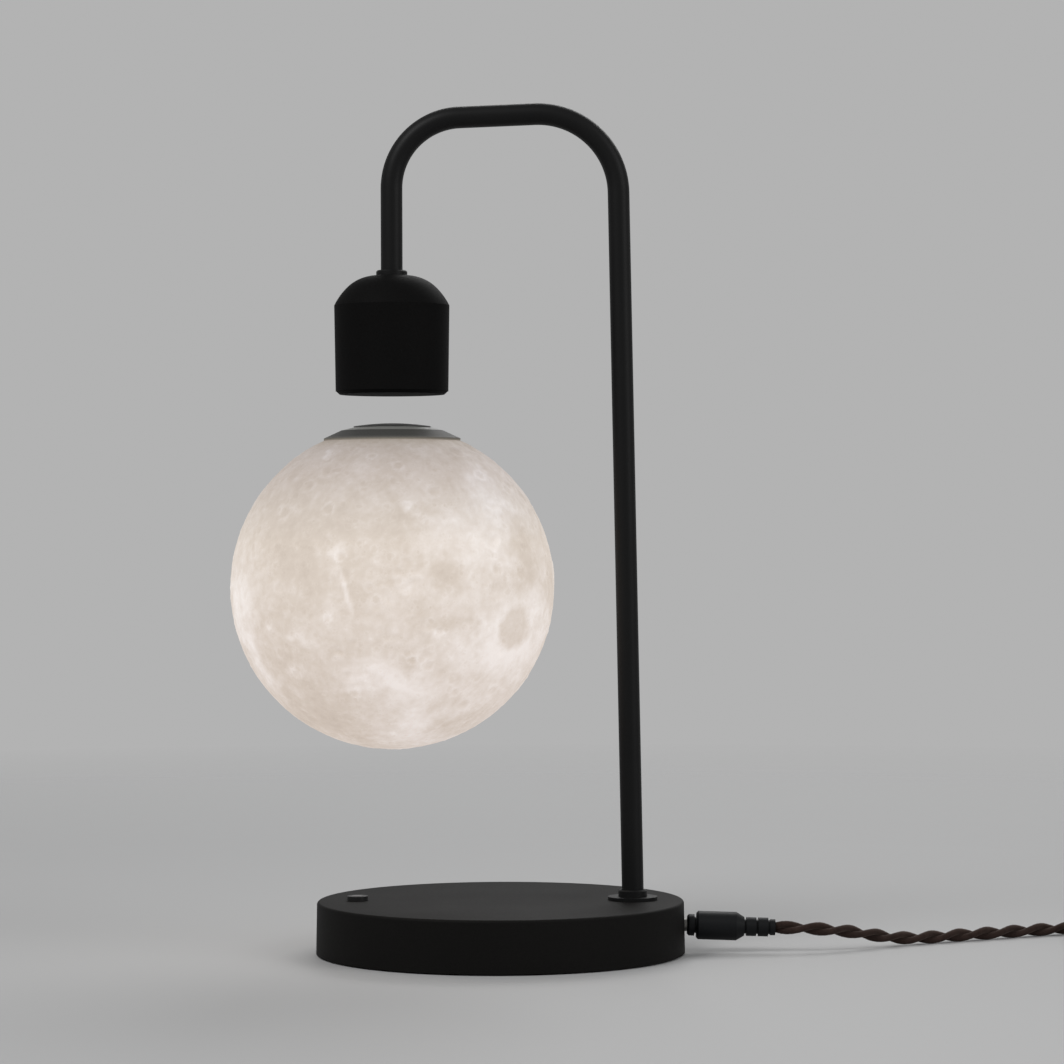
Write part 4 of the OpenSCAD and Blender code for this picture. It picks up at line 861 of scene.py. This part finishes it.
def moon_surface(directions):
    """Height in millimetres and tone from 0 to 1 of the moon's relief at each direction."""
    warp = np.stack([fractal(directions, 3.2, 4, seed) for seed in (1, 2, 3)], 1)
    fine_warp = np.stack([fractal(directions, 11.0, 3, seed) for seed in (4, 5, 6)], 1)
    broad = fractal(directions, 1.9, 5, 7)
    mid = fractal(directions, 6.0, 5, 8)
    rough = fractal(directions, 24.0, 4, 9)
    tone = MIDDLE_TONE + 0.05 * broad + 0.11 * mid + 0.09 * rough
    bent = directions + PATCH_WARPS[0] * warp + PATCH_WARPS[1] * fine_warp
    tone += PATCH_TONE * patch_sum(bent[:, 0], bent[:, 2], -directions[:, 1], FRONT_PATCHES)
    # The back has the front's patches, but larger, turned and moved
    back = [(-0.7 * x + 0.1, -0.8 * z - 0.1, w * 1.5, h * 1.3, -t, BACK_SHARE * s)
            for x, z, w, h, t, s in FRONT_PATCHES]
    tone += PATCH_TONE * patch_sum(-bent[:, 0], bent[:, 2], directions[:, 1], back)
    bent = directions + OVAL_WARPS[0] * warp + OVAL_WARPS[1] * fine_warp
    a, b = in_patch(bent[:, 0], bent[:, 2], DARK_OVAL)
    inside = np.clip((OVAL_END - np.sqrt(a * a + b * b)) / OVAL_EDGE, 0, 1)
    inside *= directions[:, 1] < 0
    tone = tone * (1 - inside) + (MIDDLE_TONE + 0.05 * rough) * inside
    height = 0.05 * broad + 0.07 * mid + 0.10 * rough - OVAL_DEPTH * inside
    height += 0.16 * (tone - 0.5)
    bent = directions + RAY_WARP * fine_warp
    bent /= np.linalg.norm(bent, axis=1)[:, None]
    tone += ray_tone(bent) * np.clip(0.85 + 0.9 * rough, 0.2, 1.4)
    lumps = 1 + RIM_LUMPS * fractal(directions, 34.0, 2, 10)
    for centre, r, depth, contrast in crater_list():
        near = directions @ centre
        at = np.flatnonzero(near > math.cos(r * CRATER_REACH / MOON_R))
        if not len(at):
            continue
        t = np.arccos(np.clip(near[at], -1, 1)) * MOON_R / r * lumps[at]
        bowl = np.where(t < 1, 1 - t * t, 0)
        rim = np.exp(-((t - RIM_AT) / RIM_WIDE) ** 2)
        height[at] += depth * (RIM_H * rim - bowl)
        tone[at] += contrast * (RIM_TONE * rim - BOWL_TONE * bowl)
    return height, np.clip(tone, 0, 1)


# How far the small craters of the print's finish are bent, in shares of their spacing
POCK_WARP = 0.42


def pocks(tree, place, scale):
    """Small uneven craters from scattered points: 0.5 is level, a rim above it, a floor below."""
    shift = add_node(tree, "TexNoise", Vector=place, Scale=3.2 * scale, Detail=1.0)
    place = add_node(tree, "VectorMath", {"operation": "MULTIPLY_ADD"},
                     _0=shift.outputs["Color"], _1=(POCK_WARP / scale,) * 3, _2=place).outputs[0]
    cells = add_node(tree, "TexVoronoi", Vector=place, Scale=scale)
    pick = add_node(tree, "SeparateXYZ", _0=cells.outputs["Color"]).outputs[0]
    radius = between(tree, pick, 0, 1, 0.18, 0.62)
    away = maths(tree, "DIVIDE", cells.outputs["Distance"], radius)
    return ramp(tree, away, [(0.0, grey(0.24)), (0.38, grey(0.30)), (0.58, grey(0.92)),
                             (0.68, grey(0.66)), (1.0, grey(0.5))])


# The print's layers, the heights over which the light falls off towards the lid, and its strength
LAYER_H, GLOW_LOW, GLOW_HIGH, GLOW = 0.3 * MM, 89.2 * MM, 225.6 * MM, 0.83
# What the finish adds to the tone: noise as (scale, detail, roughness, distortion, share), and
# small craters as (scale, share)
PRINT_NOISE = [(420, 5, 0.65, 0.0, 0.16), (130, 5, 0.7, 0.6, 0.34)]
PRINT_POCKS = [(75, 0.08), (165, 0.15), (370, 0.14)]


def moon_material():
    """Translucent white print, lit from inside: warm light that is brighter in the highlands,
    and dimmer by the lid, where no light board shines."""
    material, tree, shader = new_material("moon_print")
    place = object_place(tree)
    parts = [(add_node(tree, "Attribute", {"attribute_name": "tone"}).outputs["Fac"], 1.0)]
    parts += [(noise_at(tree, place, *how), share) for *how, share in PRINT_NOISE]
    parts += [(pocks(tree, place, scale), share) for scale, share in PRINT_POCKS]
    tone = 0.0
    for value, share in parts:
        tone = maths(tree, "MULTIPLY_ADD", value, share, tone)
    middle = MIDDLE_TONE + 0.5 * sum(share for _, share in parts[1:])
    tone = between(tree, tone, middle - 0.5, middle + 0.5)
    colour = ramp(tree, tone, [(0.10, (0.545, 0.478, 0.412)), (0.42, (0.655, 0.588, 0.520)),
                               (0.62, (0.735, 0.676, 0.622)), (0.92, (0.86, 0.82, 0.79))])
    height = add_node(tree, "SeparateXYZ", _0=place).outputs[2]
    glow = ramp(tree, between(tree, height, GLOW_LOW, GLOW_HIGH), [
        (0.0, (1.0, 0.955, 0.945)), (0.25, (0.95, 0.91, 0.90)), (0.66, (0.92, 0.90, 0.893)),
        (0.775, (0.745, 0.73, 0.735)), (0.88, (0.54, 0.515, 0.53)), (0.955, (0.37, 0.35, 0.362)),
        (0.978, (0.27, 0.248, 0.232)), (1.0, (0.10, 0.083, 0.058))])
    fill(tree, shader, Emission_Color=multiplied(tree, colour, glow), Emission_Strength=GLOW,
         Base_Color=multiplied(tree, colour, (0.40, 0.395, 0.39, 1)), Specular_IOR_Level=0.2,
         Roughness=between(tree, tone, 0.2, 0.9, 0.78, 0.62))
    layers = maths(tree, "SINE", maths(tree, "MULTIPLY", height, TAU / LAYER_H))
    bumped(tree, shader, maths(tree, "MULTIPLY_ADD", layers, 0.04, tone), 0.5, 0.0005)
    return material


# The relief stays within RELIEF_MAX of the ball, and fades to the ring's seat, SEAT_D below it
RELIEF_MAX, SEAT_D, SEAT_GAP, SEAT_FADE = 0.7, 0.03, 0.4, 2.5


def ball_directions(r, rows):
    """Unit vectors on rows of circles, from the edge of a ball's opening down, then the lowest
    one alone."""
    polar = np.linspace(math.asin(MOON_HOLE_R / r), math.pi, rows + 1)[:-1]
    th, ph = np.meshgrid(polar, turns(MOON_COLUMNS), indexing="ij")
    circles = np.stack([np.sin(th) * np.cos(ph), np.sin(th) * np.sin(ph), np.cos(th)], -1)
    return np.concatenate([circles.reshape(-1, 3), [(0, 0, -1)]])


def moon_mesh(material):
    """The globe's wall: outside with its relief, plain inside, and open under the lid."""
    outward = ball_directions(MOON_R, MOON_ROWS)
    height, tone = moon_surface(outward)
    flat_r = np.hypot(outward[:, 0], outward[:, 1]) * MOON_R
    by_lid = np.clip((flat_r - RING_R - SEAT_GAP) / SEAT_FADE, 0, 1)
    by_lid[outward[:, 2] < 0] = 1
    height = np.clip(height, -RELIEF_MAX, RELIEF_MAX) * by_lid - SEAT_D * (1 - by_lid)
    outer = outward * (MOON_R + height)[:, None]
    inner_r = MOON_R - MOON_WALL
    inner = inner_r * ball_directions(inner_r, INNER_ROWS)
    n, first = MOON_COLUMNS, len(outer)
    faces = grid_faces(MOON_ROWS, n, flip=True) + grid_faces(INNER_ROWS, n, first=first)
    last, bottom = (MOON_ROWS - 1) * n, MOON_ROWS * n
    faces += [(last + (k + 1) % n, last + k, bottom) for k in range(n)]
    last, bottom = first + (INNER_ROWS - 1) * n, first + INNER_ROWS * n
    faces += [(last + k, last + (k + 1) % n, bottom) for k in range(n)]
    faces += [(k, (k + 1) % n, first + (k + 1) % n, first + k) for k in range(n)]
    points = np.concatenate([outer, inner]) + MOON_AT
    piece = add_piece("moon_relief", points * MM, faces, material)
    attribute = piece.data.attributes.new("tone", "FLOAT", "POINT")
    attribute.data.foreach_set("value", np.concatenate([tone, np.full(len(inner), 0.5)]))
    return piece


moon_relief = moon_mesh(moon_material())
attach(moon_relief, "moon")
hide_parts("moon_shell")

# ---------------------------------------------------------------- floor, light and world

# The greys of the floor and the background, the floor's radius, and where it starts to fade away
# and where it is gone, in metres from its middle
FLOOR_TONE, BACKGROUND, FLOOR_R, FADE_START, FADE_END = 0.43, 0.45, 1.6, 0.55, 1.5
# The colour and strength of the light from all around, and the background's in reflections
SOFT_COLOUR, SOFT_LIGHT, MIRRORED = (0.98, 0.99, 1), 0.42, 0.85
# Lamps: name, place, target, size, power
LAMPS = [("key", (-1.1, -1.2, 1.7), (0, 0, 0.12), (1.0, 1.0), 22),
         ("fill", (1.5, -0.9, 0.9), (0, 0, 0.15), (1.0, 1.2), 9),
         ("back", (0.4, 1.4, 1.3), (0, 0, 0.15), (1.2, 0.8), 10)]


def stage_material():
    """A pale floor that fades into the background away from the lamp."""
    material, tree, shader = new_material("studio_floor")
    fill(tree, shader, Base_Color=(*grey(FLOOR_TONE), 1), Roughness=0.6, Specular_IOR_Level=0.2)
    away = add_node(tree, "VectorMath", {"operation": "LENGTH"},
                    _0=object_place(tree)).outputs["Value"]
    clear = add_node(tree, "BsdfTransparent").outputs[0]
    mixed = add_node(tree, "MixShader", _0=between(tree, away, FADE_START, FADE_END),
                     _1=shader.outputs[0], _2=clear).outputs[0]
    tree.links.new(mixed, tree.nodes["Material Output"].inputs[0])
    return material


def fill_world(tree):
    """Soft light from all around, and plain grey where the camera or a mirror looks."""
    def shine(colour, strength):
        return add_node(tree, "Background", Color=(*colour, 1), Strength=strength).outputs[0]

    path = add_node(tree, "LightPath").outputs
    seen = maths(tree, "MAXIMUM", path["Is Camera Ray"], path["Is Transmission Ray"])
    unseen = add_node(tree, "MixShader", _0=path["Is Glossy Ray"],
                      _1=shine(SOFT_COLOUR, SOFT_LIGHT), _2=shine(grey(BACKGROUND), MIRRORED))
    mixed = add_node(tree, "MixShader", _0=seen, _1=unseen.outputs[0],
                     _2=shine(grey(BACKGROUND), 1.0))
    add_node(tree, "OutputWorld", _0=mixed.outputs[0])


bpy.ops.mesh.primitive_circle_add(vertices=96, radius=FLOOR_R, fill_type="NGON")
floor = bpy.context.object
floor.name = "floor"
floor.data.materials.append(stage_material())

world = bpy.data.worlds.new("studio")
bpy.context.scene.world = world
world.use_nodes = True
world.node_tree.nodes.clear()
fill_world(world.node_tree)

for name, place, target, size, power in LAMPS:
    data = bpy.data.lights.new(name, "AREA")
    data.shape, data.size, data.size_y, data.energy = "RECTANGLE", *size, power
    lamp = bpy.data.objects.new(name, data)
    lamp.location = place
    lamp.rotation_euler = (Vector(target) - Vector(place)).to_track_quat("-Z", "Y").to_euler()
    bpy.context.scene.collection.objects.link(lamp)

bpy.context.scene.view_settings.view_transform = "Standard"
